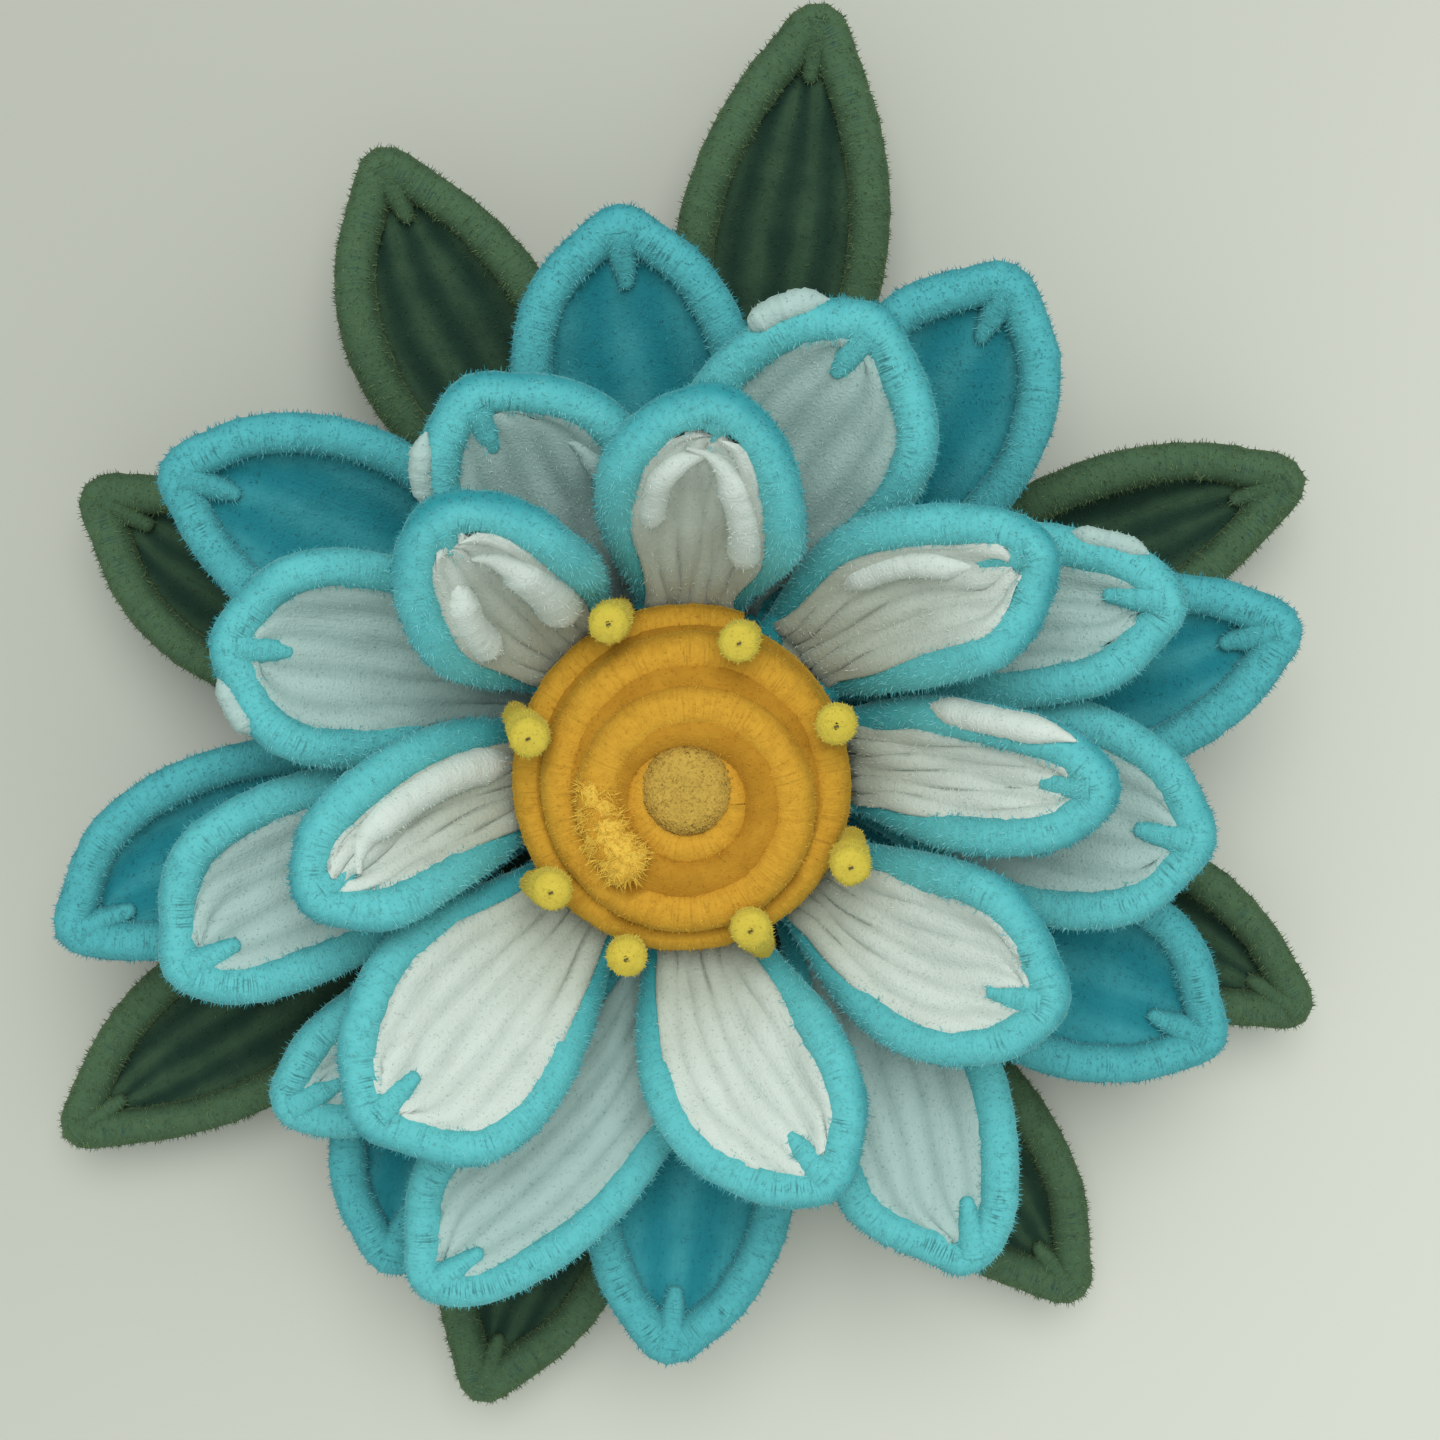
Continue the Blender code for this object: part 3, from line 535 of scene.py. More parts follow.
def pile_finish(name, pile):
    """Cut pile, with painted light on its crests, painted shade in its grooves and on its
    flanks, painted shade by the hub, painted highlights on the fibres' ends, painted shade
    in fine lengthwise streaking, and dark specks where a bend parts the pile."""
    finish = Finish(name)
    mottle = finish.noise(MOTTLE_SIZE, 3.0)
    clump = finish.noise(CLUMP_SIZE)
    grain = finish.noise(GRAIN_SIZE)
    lane = finish.attribute("lane")
    along = finish.attribute("along")
    # painted light on crests that face up, painted shade in grooves and on flanks
    crest = finish.attribute("crest") + (mottle - 0.5) * CREST_MOTTLING
    colour = finish.mixed(finish.step(crest, *LIT_STEP), opaque(pile.deep), opaque(pile.lit))
    # painted shade by the hub
    near_root = 1.0 - finish.step(along + (mottle - 0.5) * ROOT_MOTTLING, *ROOT_STEP)
    colour = finish.mixed(near_root, colour, opaque(pile.root))
    # painted shade in lengthwise folds
    stretch, slice_height = STREAK_PLACE
    streak = finish.noise_at(lane, along * stretch, slice_height, STREAK_SCALE, 1.0)
    far_and_near = FAR_STREAKS + near_root * (1 - FAR_STREAKS)
    shadow = finish.step(streak, *STREAK_STEP) * pile.streaks * far_and_near
    bristle = finish.noise_at(lane, finish.attribute("crest"), mottle, BRISTLE_SCALE, 2.0)
    patch = (finish.step(clump, *CLUMP_STEP) + finish.step(bristle, *BRISTLE_STEP)) * pile.mottling
    colour = finish.mixed(patch + shadow, colour, opaque(pile.root, PATCH_AND_SHADE_TONE))
    # painted highlight on the fibres' ends, most on lit crests
    fibre_highlight = LOW_HIGHLIGHT + finish.step(crest, *HIGHLIGHT_STEP) * CREST_HIGHLIGHT
    colour = finish.mixed(finish.attribute("tuft") * fibre_highlight, colour, opaque(pile.tip))
    parted = finish.attribute("bare") * finish.step(mottle, *PARTED_STEP)
    speck = finish.step(bristle + parted * SPECK_EASE, *SPECK_STEP)
    colour = finish.mixed(speck * parted * SPECK_STRENGTH, colour, opaque(pile.bare))
    height = grain * GRAIN_BUMP + bristle * BRISTLE_BUMP + clump * CLUMP_BUMP
    bump = finish.node("ShaderNodeBump", None, {
        "Strength": BUMP_STRENGTH, "Distance": BUMP_DEPTH, "Height": height})
    return finish.dress({
        "Base Color": colour,
        "Roughness": PILE_ROUGHNESS + grain * GRAIN_ROUGHNESS,
        "Normal": bump,
        "Specular IOR Level": PILE_SPECULAR,
        "Sheen Weight": PILE_SHEEN,
        "Sheen Roughness": SHEEN_ROUGHNESS,
        "Sheen Tint": opaque(pile.tip),
    })


def wire_finish():
    """The bare cut wire, a little tarnished."""
    finish = Finish("cut_wire")
    tarnish = finish.noise(TARNISH_SIZE)
    return finish.dress({
        "Base Color": finish.mixed(tarnish, opaque(DARK_WIRE), opaque(PALE_WIRE)),
        "Roughness": WIRE_ROUGHNESS + tarnish * TARNISH_ROUGHNESS,
        "Metallic": WIRE_METAL,
    })


def make_finishes():
    """The pile's colours, and the cut wire."""
    looks = {name: pile_finish(name + "_pile_look", pile) for name, pile in PILES.items()}
    looks["wire"] = wire_finish()
    return looks


# Shapes

def direction(angle):
    """Unit vector in the flower's plane."""
    return np.array([math.cos(math.radians(angle)), math.sin(math.radians(angle)), 0.0])


def unit_rows(rows):
    """Each row scaled to unit length."""
    return rows / np.maximum(np.linalg.norm(rows, axis=-1), TINY_LENGTH)[..., None]


def smooth_step(values, low, high):
    """A smooth step from 0 at low to 1 at high."""
    share = np.clip((values - low) / (high - low), 0.0, 1.0)
    return share * share * (3 - 2 * share)


def path_lengths(points):
    """How far along a path each of its points lies."""
    steps = np.linalg.norm(np.diff(points, axis=0), axis=1)
    return np.concatenate([[0.0], np.cumsum(steps)])


def side_width(share, petal, ring, side):
    """How far aside of the spine the rim's core lies, at shares of the length, side 1 or -1."""
    widths = np.array(petal.ahead if side > 0 else petal.behind) * MM
    flare = np.polyfit((0.0,) + STATIONS, (ring.tied_width, *widths), len(STATIONS))
    past = np.clip((share - STATIONS[-1]) / (1 - STATIONS[-1]), 0.0, 1.0)
    fold = side * petal.fold * MM
    closing = fold + (widths[-1] - fold) * (1 - past ** ring.blunt) ** (1 / ring.blunt)
    return np.where(share <= STATIONS[-1], np.polyval(flare, share), closing)


class Spine:
    """The middle line of a petal, from the hub to its tip, with a frame along it."""

    def __init__(self, petal, ring):
        reach = petal.reach * MM
        root = direction(petal.root) * (HUB_RADIUS + SEAT_GAP)
        tip = direction(petal.tip) * reach
        bend = direction(petal.root) * (HUB_RADIUS + reach) / 2
        share = np.linspace(0.0, 1.0, SPINE_SAMPLES)[:, None]
        points = root * (1 - share) ** 2 + bend * 2 * share * (1 - share) + tip * share ** 2
        level = LEVEL_RUN / (reach - HUB_RADIUS)
        climbed = np.clip((share[:, 0] - level) / (1 - level), 0, 1)
        points[:, 2] = ring.height + (petal.tip_height * MM - ring.height) * climbed
        points[:, 2] += petal.curl * MM * climbed ** CURL_POWER
        self.along = path_lengths(points)
        self.length = self.along[-1]
        self.points = points
        forward = unit_rows(np.gradient(points, axis=0))
        self.sideways = unit_rows(np.cross([0.0, 0.0, 1.0], forward))
        self.normal = np.cross(forward, self.sideways)
        self.tip_forward = forward[-1]
        half_width = (petal.ahead[1] + petal.behind[1]) / 2 * MM
        self.bow = 2 * petal.cup * MM / half_width ** 2

    def read(self, rows, distance):
        """Rows of vectors at distances along the spine."""
        parts = [np.interp(distance, self.along, rows[:, k]) for k in range(3)]
        return np.stack(parts, axis=-1)

    def place(self, distance, aside, lift):
        """Points that lie so far along, aside and above the petal's cupped face."""
        distance, aside, lift = np.broadcast_arrays(distance, aside, lift)
        beyond = np.maximum(0.0, distance - self.length)
        share = np.minimum(distance / self.length, 1.0)
        bow = self.bow * np.sin(0.5 * math.pi * share)
        bow = np.maximum(bow, LEAST_BOW)
        turn = bow * aside
        across = np.sin(turn) / bow - lift * np.sin(turn)
        up = (1 - np.cos(turn)) / bow + lift * np.cos(turn)
        points = self.read(self.points, distance)
        points = points + self.read(self.sideways, distance) * across[..., None]
        points = points + self.read(self.normal, distance) * up[..., None]
        return points + self.tip_forward * beyond[..., None]


# Making pieces

def deselect():
    """Nothing stays selected."""
    bpy.ops.object.select_all(action="DESELECT")


def hold(piece):
    """Make a piece the only one selected, and active."""
    deselect()
    piece.select_set(True)
    bpy.context.view_layer.objects.active = piece


def added(operator, **settings):
    """What one of the add operators makes, with nothing else selected."""
    deselect()
    operator(**settings)
    return bpy.context.object


def mesh_points(piece):
    """The places of a mesh's vertices, one row each."""
    points = np.empty(len(piece.data.vertices) * 3)
    piece.data.vertices.foreach_get("co", points)
    return points.reshape(-1, 3)


def move_points(piece, points):
    """Put a mesh's vertices in new places."""
    piece.data.vertices.foreach_set("co", np.ascontiguousarray(points).ravel())
    piece.data.update()


def write_numbers(piece, **numbers):
    """Store numbers that the materials read, one for each vertex or one for all."""
    for name, values in numbers.items():
        layer = piece.data.attributes.get(name)
        if layer is None:
            layer = piece.data.attributes.new(name, "FLOAT", "POINT")
        rows = np.broadcast_to(np.asarray(values, np.float32), len(piece.data.vertices))
        layer.data.foreach_set("value", np.ascontiguousarray(rows))


def read_number(piece, name):
    """The numbers stored for the vertices, or zeros."""
    values = np.zeros(len(piece.data.vertices), dtype=np.float32)
    layer = piece.data.attributes.get(name)
    if layer is not None:
        layer.data.foreach_get("value", values)
    return values


def apply_modifier(piece, kind, **settings):
    """Add a modifier to a piece and apply it."""
    hold(piece)
    bpy.ops.object.modifier_add(type=kind)
    modifier = piece.modifiers[-1]
    for name, value in settings.items():
        setattr(modifier, name, value)
    bpy.ops.object.modifier_apply(modifier=modifier.name)


def join(pieces):
    """Join pieces into the first one."""
    hold(pieces[0])
    for piece in pieces[1:]:
        piece.select_set(True)
    bpy.ops.object.join()
    return pieces[0]


def even_steps(points, spacing):
    """Points at even steps along a path, in as many dimensions as the path has."""
    lengths = path_lengths(points)
    count = max(3, round(lengths[-1] / spacing))
    wanted = np.linspace(0.0, lengths[-1], count + 1)
    rows = [np.interp(wanted, lengths, points[:, k]) for k in range(points.shape[1])]
    return np.stack(rows, axis=1)


def rounded_end(core, radii):
    """Close a stem's last end with a dome."""
    forward = unit_rows(core[-1:] - core[-2:-1])[0]
    turns = np.linspace(0.0, 0.5 * math.pi, DOME_STEPS + 1)[1:]
    dome = core[-1] + forward * (np.sin(turns) * radii[-1])[:, None] * DOME_LENGTH
    ends = np.maximum(np.cos(turns), DOME_POINT) * radii[-1]
    return np.concatenate([core, dome]), np.concatenate([radii, ends])


def stem(name, core, radii, up, along, bare, random):
    """A stem of pile: a round tube along a core, with the numbers that its finish reads.
    Each value but the core is a row for each of its points, or one for all."""
    radii, along, bare = (np.broadcast_to(row, len(core)) for row in (radii, along, bare))
    up = np.broadcast_to(up, core.shape)
    piece = added(bpy.ops.curve.primitive_bezier_curve_add, location=(0.0, 0.0, 0.0))
    piece.name = name
    curve = piece.data
    curve.splines.clear()
    curve.dimensions = "3D"
    curve.bevel_depth = 1.0
    curve.bevel_resolution = STEM_ROUND
    curve.use_fill_caps = True
    line = curve.splines.new("POLY")
    line.points.add(len(core) - 1)
    for point, place, radius in zip(line.points, core, radii):
        point.co = (*place, 1.0)
        point.radius = radius
    bpy.ops.object.convert(target="MESH")
    piece = bpy.context.object
    bpy.ops.object.shade_smooth()
    points = mesh_points(piece)
    nearest = np.argmin(((points[:, None, :] - core[None, :, :]) ** 2).sum(axis=2), axis=1)
    outward = unit_rows(points - core[nearest])
    height = (outward * up[nearest]).sum(axis=1)
    # crest is high on a stem's top: painted light there, painted shade on its flanks and underside
    write_numbers(piece, crest=0.5 + 0.5 * height, lane=path_lengths(core)[nearest] / MM,
                  along=along[nearest], bare=bare[nearest] * smooth_step(height, *TOP_STEP))
    move_points(piece, points + outward * random.normal(0.0, PILE_WOBBLE, len(points))[:, None])
    return piece


def rim_route(petal, ring, spine):
    """The rim's core as distances along and aside, out, round the pinched tip and back."""
    share = np.sin(0.5 * math.pi * np.linspace(0.0, 1.0, OUTLINE_SAMPLES))
    there = np.stack([share * spine.length, -side_width(share, petal, ring, -1)], axis=1)
    back = np.stack([share * spine.length, side_width(share, petal, ring, 1)], axis=1)
    route = even_steps(np.concatenate([there, back[-2::-1]]), STEM_SPACING)
    for _ in range(SMOOTHINGS):
        route[1:-1] = (route[:-2] + 2 * route[1:-1] + route[2:]) / 4
    tip = np.argmax(route[:, 0])
    from_tip = np.linalg.norm(route - route[tip], axis=1)
    route[:, 0] += TIP_PINCH * np.exp(-(from_tip / TIP_PINCH_WIDTH) ** 2)
    return route


def pile_radius(share):
    """A rim's pile, squeezed by the hub and free further out."""
    return np.interp(share, SWELL_SHARES, (TIED_RADIUS, PILE_RADIUS))


def rim(name, petal, ring, spine, random):
    """The rim stem of a petal, out from the hub, round the tip and back."""
    route = rim_route(petal, ring, spine)
    share = route[:, 0] / spine.length
    knots = np.arange(0, len(route) + UNEVEN_RINGS, UNEVEN_RINGS)
    thickness = random.normal(1.0, UNEVEN_PILE, len(knots))
    uneven = np.interp(np.arange(len(route)), knots, thickness)
    core = spine.place(route[:, 0], route[:, 1], 0.0)
    up = spine.read(spine.normal, route[:, 0])
    bare = smooth_step(share, *BEND_STEP)
    return stem(name, core, pile_radius(share) * uneven, up, share, bare, random)


def tip_fold(petal, spine, length, rise, random):
    """The pinched end of the loop, a spur that narrows over the filling from the tip."""
    distance = np.linspace(spine.length + SPUR_OVERHANG, spine.length - length, SPUR_RINGS)
    share = np.linspace(0.0, 1.0, SPUR_RINGS)
    core = spine.place(distance, petal.fold * MM, SPUR_LIFT + rise * share)
    radii = PILE_RADIUS * (1.0 - SPUR_NARROWING * share ** SPUR_TAPER)
    core, radii = rounded_end(core, radii)
    up = spine.read(spine.normal, spine.length)
    return stem("fold", core, radii, up, SPUR_ALONG, SPUR_BARE, random)


def beside_rim(petal, ring, spine, run, random):
    """A white run that lies beside the rim, proud inside it or showing beyond it."""
    share = np.linspace(run.start, run.end, RUN_RINGS)
    aside = run.side * (side_width(share, petal, ring, run.side) + run.offset * MM)
    distance = share * (spine.length + run.offset * MM)
    core = spine.place(distance, aside, run.lift * MM)
    ends = RUN_FULLNESS * np.sin(math.pi * np.linspace(0.0, 1.0, RUN_RINGS))
    radii = run.radius * MM * np.clip(ends, RUN_POINT, 1.0) ** RUN_BLUNTNESS
    up = spine.read(spine.normal, distance)
    return stem("run", core, radii, up, 1.0, 0.0, random)


def room_inside(distances, inset, petal, ring, spine, side):
    """How far aside one side of the rim's outline lies when it is moved in by an inset."""
    share = np.linspace(0.0, 1.0, ROOM_SAMPLES)
    wide = side_width(share, petal, ring, side)
    offset = share[None, :] * spine.length - distances[:, None]
    inset = np.broadcast_to(inset, distances.shape)[:, None]
    room = wide[None, :] - np.sqrt(np.maximum(inset ** 2 - offset ** 2, 0.0))
    return np.where(np.abs(offset) < inset, room, np.inf).min(axis=1)


def bowl(across, share, bend):
    """How far a filling's outer runs are raised round its hollow middle."""
    raised = np.where(across > 0, bend.ahead, bend.behind) * MM
    edge = smooth_step(np.abs(across), *HOLLOW_SIDES) * smooth_step(share, *HOLLOW_START)
    return raised * np.maximum(edge, smooth_step(share, *HOLLOW_END))


def filling_end(across, petal, ring, spine, bend):
    """How far out the runs reach, short of the tip, with a notch where the fold stands in
    and a fringe of uneven ends beside it."""
    stations = np.linspace(END_SEARCH * spine.length, spine.length, END_SAMPLES)
    tuck = PILE_RADIUS * FILL_TUCK
    open_at_end = sum(room_inside(stations, tuck, petal, ring, spine, side) for side in (1, -1))
    last = stations[open_at_end > END_OPENING].max()
    near_end = np.array([last - TIP_NOTCH])
    right, left = (room_inside(near_end, tuck, petal, ring, spine, side)[0] for side in (1, -1))
    notch_at = 2 * (petal.fold * MM + left) / (right + left) - 1
    notch_at = np.clip(notch_at, -NOTCH_LIMIT, NOTCH_LIMIT)
    end = last + (FRINGE * np.sin(across * FRINGE_TURN + petal.number)
                  + FINE_FRINGE * np.sin(across * FINE_FRINGE_TURN + petal.root))
    if ring.root_half:
        notch = TIP_NOTCH if bend is FLAT else HOLLOW_NOTCH
        end = end - notch * np.exp(-((across - notch_at) / NOTCH_WIDTH) ** 2)
    return end


def filling_lift(distance, share, run, hump, petal, ring, random):
    """How high the runs lie: over the next ring's rim by the hub, then at the ring's depth,
    each run with its own height."""
    heights = random.uniform(*RUN_HEIGHTS, ring.runs)[run.astype(int)]
    relief = GROOVE_DEPTH * (1 - GROOVE_FADE * smooth_step(share, *GROOVE_STEP))
    swell = RUN_SWELL * np.sin(distance * SWELL_TURN + run * RUN_TURN + petal.number) * hump
    ridden = smooth_step(distance, *RIDE_START) * (1 - smooth_step(share, *RIDE_STEP))
    ridden = ridden * (ring.root_half > 0)
    lift = RIDE_LIFT * ridden - ring.sink * smooth_step(share, *SINK_STEP) * (1 - ridden)
    return lift + relief * (heights * hump - 0.5) + swell


def filling(petal, ring, spine, lit, bend, random):
    """The runs laid side by side inside a rim, from the hub to just short of the fold."""
    piece = added(bpy.ops.mesh.primitive_grid_add, x_subdivisions=FILL_ROWS,
                  y_subdivisions=ring.runs * FILL_COLUMNS, size=2.0)
    flat = mesh_points(piece)
    across = flat[:, 1]
    end = filling_end(across, petal, ring, spine, bend)
    distance = end * ((flat[:, 0] + 1) / 2) ** ROW_CROWDING
    share = distance / spine.length
    tuck = pile_radius(share) * FILL_TUCK
    root_half = ring.root_half * (1 - smooth_step(share, *ROOT_HALF_STEP))
    high = np.maximum(room_inside(distance, tuck, petal, ring, spine, 1), root_half)
    low = -np.maximum(room_inside(distance, tuck, petal, ring, spine, -1), root_half)
    aside = low + (high - low) * (across + 1) / 2
    place = np.clip((across + 1) / 2 * ring.runs, 0, ring.runs - TINY_STEP)
    run = np.floor(place)
    hump = 0.5 - 0.5 * np.cos(2 * math.pi * (place - run))
    lift = filling_lift(distance, share, run, hump, petal, ring, random)
    lift = lift + bowl(across, share, bend)
    move_points(piece, spine.place(distance, aside, lift))
    # painted shade in a hollow
    shade = 1.0 if bend is FLAT else HOLLOW_SHADE
    # painted light on the tops of the runs, painted shade in their grooves and inside a one-colour
    # petal
    write_numbers(piece, crest=(GROOVE_CREST + (1 - GROOVE_CREST) * hump) * lit,
                  along=share * shade, lane=aside / MM, bare=0.0)
    apply_modifier(piece, "SOLIDIFY", thickness=FILL_THICKNESS, offset=0.0)
    bpy.ops.object.shade_smooth()
    return piece


def mesh_triangles(piece):
    """The three vertices of each of a mesh's triangles."""
    piece.data.calc_loop_triangles()
    corners = np.empty(len(piece.data.loop_triangles) * 3, dtype=np.int32)
    piece.data.loop_triangles.foreach_get("vertices", corners)
    return corners.reshape(-1, 3)


def mesh_normals(piece):
    """The normals of a mesh's vertices, one row each."""
    normals = np.empty(len(piece.data.vertices) * 3)
    piece.data.vertices.foreach_get("normal", normals)
    return normals.reshape(-1, 3)


def scattered(points, corners, density, random):
    """Places spread evenly over triangles, few on undersides: for each place the three
    vertices round it, and their weights."""
    first, second, third = (points[corners[:, k]] for k in range(3))
    turned = np.cross(second - first, third - first)
    areas = 0.5 * np.linalg.norm(turned, axis=1)
    facing = turned[:, 2] / np.maximum(2 * areas, TINY_AREA)
    upward = smooth_step(facing, *UNDERSIDE_STEP)
    areas = areas * (UNDERSIDE_SHARE + (1 - UNDERSIDE_SHARE) * upward)
    count = int(areas.sum() * MM2_PER_M2 * FIBRES_PER_MM2 * density)
    chosen = np.searchsorted(np.cumsum(areas) / areas.sum(), random.random(count))
    chosen = np.minimum(chosen, len(corners) - 1)
    root = np.sqrt(random.random(count))
    turn = random.random(count)
    weights = np.stack([1 - root, root * (1 - turn), root * turn], axis=1)
    return corners[chosen], weights


def spikes(feet, out, growth, random):
    """Four corners for each fibre, three round its foot and the last at its end."""
    way = unit_rows(out + random.normal(0.0, growth.tilt, feet.shape))
    side = unit_rows(np.cross(way, random.normal(0.0, 1.0, feet.shape)))
    other = np.cross(way, side)
    corners = np.empty((len(feet), 4, 3))
    for k in range(3):
        angle = 2 * math.pi * k / 3
        ring = side * math.cos(angle) + other * math.sin(angle)
        corners[:, k] = feet - way * FIBRE_SINK + ring * FIBRE_ROOT
    lengths = random.uniform(*FIBRE_LENGTHS, len(feet))[:, None]
    corners[:, 3] = feet + way * growth.reach * lengths
    return corners


def grow_pile(piece, seed, growth):
    """Fine fibres all over a piece, each a closed three-sided spike, joined to it."""
    density = growth.density
    random = np.random.default_rng(seed)
    points = mesh_points(piece)
    held, weights = scattered(points, mesh_triangles(piece), density, random)
    feet = (points[held] * weights[:, :, None]).sum(axis=1)
    out = unit_rows((mesh_normals(piece)[held] * weights[:, :, None]).sum(axis=1))
    corners = spikes(feet, out, growth, random)
    faces = np.array([[0, 1, 3], [1, 2, 3], [2, 0, 3], [0, 2, 1]])
    faces = (faces[None] + 4 * np.arange(len(feet))[:, None, None]).reshape(-1, 3)
    fibres = bpy.data.meshes.new("fibres")
    fibres.from_pydata(corners.reshape(-1, 3), [], faces)
    made = bpy.data.objects.new("fibres", fibres)
    bpy.context.collection.objects.link(made)
    for name in ("crest", "along", "bare", "lane"):
        numbers = (read_number(piece, name)[held] * weights).sum(axis=1)
        write_numbers(made, **{name: np.repeat(numbers, 4)})
    # painted highlight of the fibres' ends, each fibre its own, lower at its root
    tuft_highlight = read_number(piece, "tuft")
    write_numbers(piece, tuft=tuft_highlight)
    corner_tones = (FIBRE_ROOT_HIGHLIGHT, FIBRE_ROOT_HIGHLIGHT, FIBRE_ROOT_HIGHLIGHT, 1.0)
    tones = random.uniform(0.0, 1.0, len(feet))[:, None] * corner_tones
    write_numbers(made, tuft=np.maximum(tones, tuft_highlight[held].max(axis=1)[:, None]).ravel())
    return join([piece, made])


def finish_piece(piece, name, material, nodes):
    """Give a piece its name, finish and body, and hide the CAD nodes that it stands for."""
    piece.name = name
    piece.data.name = name
    piece.data.materials.clear()
    piece.data.materials.append(material)
    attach(piece, "root")
    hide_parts(*nodes)


# The flower

def one_colour_petals(petals, ring, node, look, lit, seed):
    """Leaves and outer petals: rim and filling of one colour, with painted shade inside."""
    for petal in petals:
        random = np.random.default_rng(seed + petal.number)
        spine = Spine(petal, ring)
        name = f"{node}_{petal.number}"
        edge = rim(name, petal, ring, spine, random)
        fold = tip_fold(petal, spine, PLAIN_SPUR, 0.0, random)
        smooth = filling(petal, ring, spine, lit, FLAT, random)
        edge = grow_pile(join([edge, fold]), seed + petal.number, RIM_PILE)
        smooth = grow_pile(smooth, seed + INSIDE_SEED + petal.number, INSIDE_PILE)
        finish_piece(join([edge, smooth]), name + "_pile", look, [name])


def two_colour_petals(petals, ring, rim_node, fill_node, looks, white, seed):
    """Middle and inner petals: a teal rim round white runs."""
    for petal in petals:
        random = np.random.default_rng(seed + petal.number)
        spine = Spine(petal, ring)
        name = f"{rim_node}_{petal.number}"
        fill_name = f"{fill_node}_{petal.number}"
        edge = rim(name, petal, ring, spine, random)
        fold = tip_fold(petal, spine, SPUR, SPUR_RISE, random)
        piece = grow_pile(join([edge, fold]), seed + petal.number, RIM_PILE)
        finish_piece(piece, name + "_pile", looks["teal"], [name])
        whites = [filling(petal, ring, spine, 1.0, BENDS.get(fill_name, FLAT), random)]
        for run in WHITE_RUNS:
            if run.petal == name:
                whites.append(beside_rim(petal, ring, spine, run, random))
        inside = grow_pile(join(whites), seed + INSIDE_SEED + petal.number, WHITE_PILE)
        covered = ring is MIDDLE_RING and petal.number == COVERED_MIDDLE_PETAL
        finish_piece(inside, fill_name + "_pile", looks[white],
                     [name if covered else fill_name])


def coil_core(turns):
    """Radius and height of the coil's core, so many turns in from its tucked outer end."""
    tucked = np.minimum(turns, COIL_TUCK_TURNS)
    wound = turns - tucked
    height = COIL_BASE_HEIGHT + COIL_TUCK_RISE * tucked / COIL_TUCK_TURNS
    return COIL_OUTER_RADIUS - COIL_PITCH * wound, height + COIL_TURN_RISE * wound


def coil_angle(turns):
    """Angle of the coil's core; the stem is wound clockwise outwards."""
    return COIL_TAIL_ANGLE - 360.0 * (COIL_TURNS - turns)


def level_stem(name, core, radii, bare, random):
    """A stem that lies level, free of the hub."""
    return stem(name, core, radii, (0.0, 0.0, 1.0), 1.0, bare, random)


def frayed_end(core, random):
    """The coil's cut end: its last stretch, swollen and rough, with long fibres, and painted
    light: the lit tone and the fibres' highlights all over.
    """
    stretch = core[-(FRAY_RINGS + DOME_STEPS):-DOME_STEPS] + (0.0, 0.0, FRAY_LIFT)
    stretch, radii = rounded_end(stretch, np.linspace(*FRAY_RADII, FRAY_RINGS))
    end = level_stem("end", stretch, radii, 0.0, random)
    smooth = mesh_points(end)
    move_points(end, smooth + random.normal(0.0, FRAY_ROUGHNESS, smooth.shape))
    # painted light: the lit tone and the fibres' highlights all over the frayed end
    write_numbers(end, crest=FRAY_CREST, tuft=FRAY_HIGHLIGHT)
    return grow_pile(end, COIL_SEED + 2, FRAY_PILE)


def lower_turn(height, random):
    """The turn that shows inside the hole."""
    angle = np.linspace(0.0, 2 * math.pi, LOWER_TURN_RINGS)
    core = np.stack([LOWER_TURN_RADIUS * np.cos(angle),
                     LOWER_TURN_RADIUS * np.sin(angle) + COIL_DRIFT,
                     np.full(LOWER_TURN_RINGS, height)], axis=1)
    return level_stem("lower", core, COIL_PILE_RADIUS, LOWER_TURN_BARE, random)


def coil_bed():
    """The matted pile that closes the gaps under the coil's turns."""
    piece = added(bpy.ops.mesh.primitive_uv_sphere_add, segments=BED_SIDES,
                  ring_count=BED_SIDES // 2, radius=1.0)
    points = mesh_points(piece)
    rise = np.where(points[:, 2] > 0, BED_RISE, BED_FOOT)
    points = points * (BED_RADIUS, BED_RADIUS, 1.0)
    from_hole = np.hypot(points[:, 0], points[:, 1] - COIL_DRIFT)
    inside = 1 - smooth_step(from_hole, HOLE_FLOOR * HOLE_RADIUS, HOLE_RADIUS)
    hollow = BED_HOLLOW * inside * (points[:, 2] > 0)
    points[:, 2] = points[:, 2] * rise + COIL_BASE_HEIGHT - hollow
    move_points(piece, points)
    bpy.ops.object.shade_smooth()
    # painted part shade all over the bed
    write_numbers(piece, crest=BED_CREST, along=1.0)
    return piece


def golden_coil(look):
    """The golden stem wound as a domed spiral, with its frayed end on top, and the lower
    turn that shows inside the hole."""
    random = np.random.default_rng(COIL_SEED)
    turns = np.linspace(0.0, COIL_TURNS, round(COIL_TURNS * COIL_RINGS))
    radius, height = coil_core(turns)
    angle = np.radians(coil_angle(turns))
    drift = COIL_DRIFT * smooth_step(turns, *DRIFT_TURNS)
    core = np.stack([radius * np.cos(angle), radius * np.sin(angle) + drift, height], axis=1)
    core[:, 2] += COIL_WAVE * np.sin(angle * COIL_WAVES)
    core, radii = rounded_end(core, np.full(len(core), COIL_LOOSE_RADIUS))
    parts = [
        level_stem("coil", core, radii, COIL_BARE, random),
        frayed_end(core, random),
        lower_turn(height[-1] - LOWER_TURN_DROP, random),
        coil_bed(),
    ]
    piece = grow_pile(join(parts), COIL_SEED + 1, COIL_PILE)
    finish_piece(piece, "centre_coil_pile", look, ["centre_coil"])


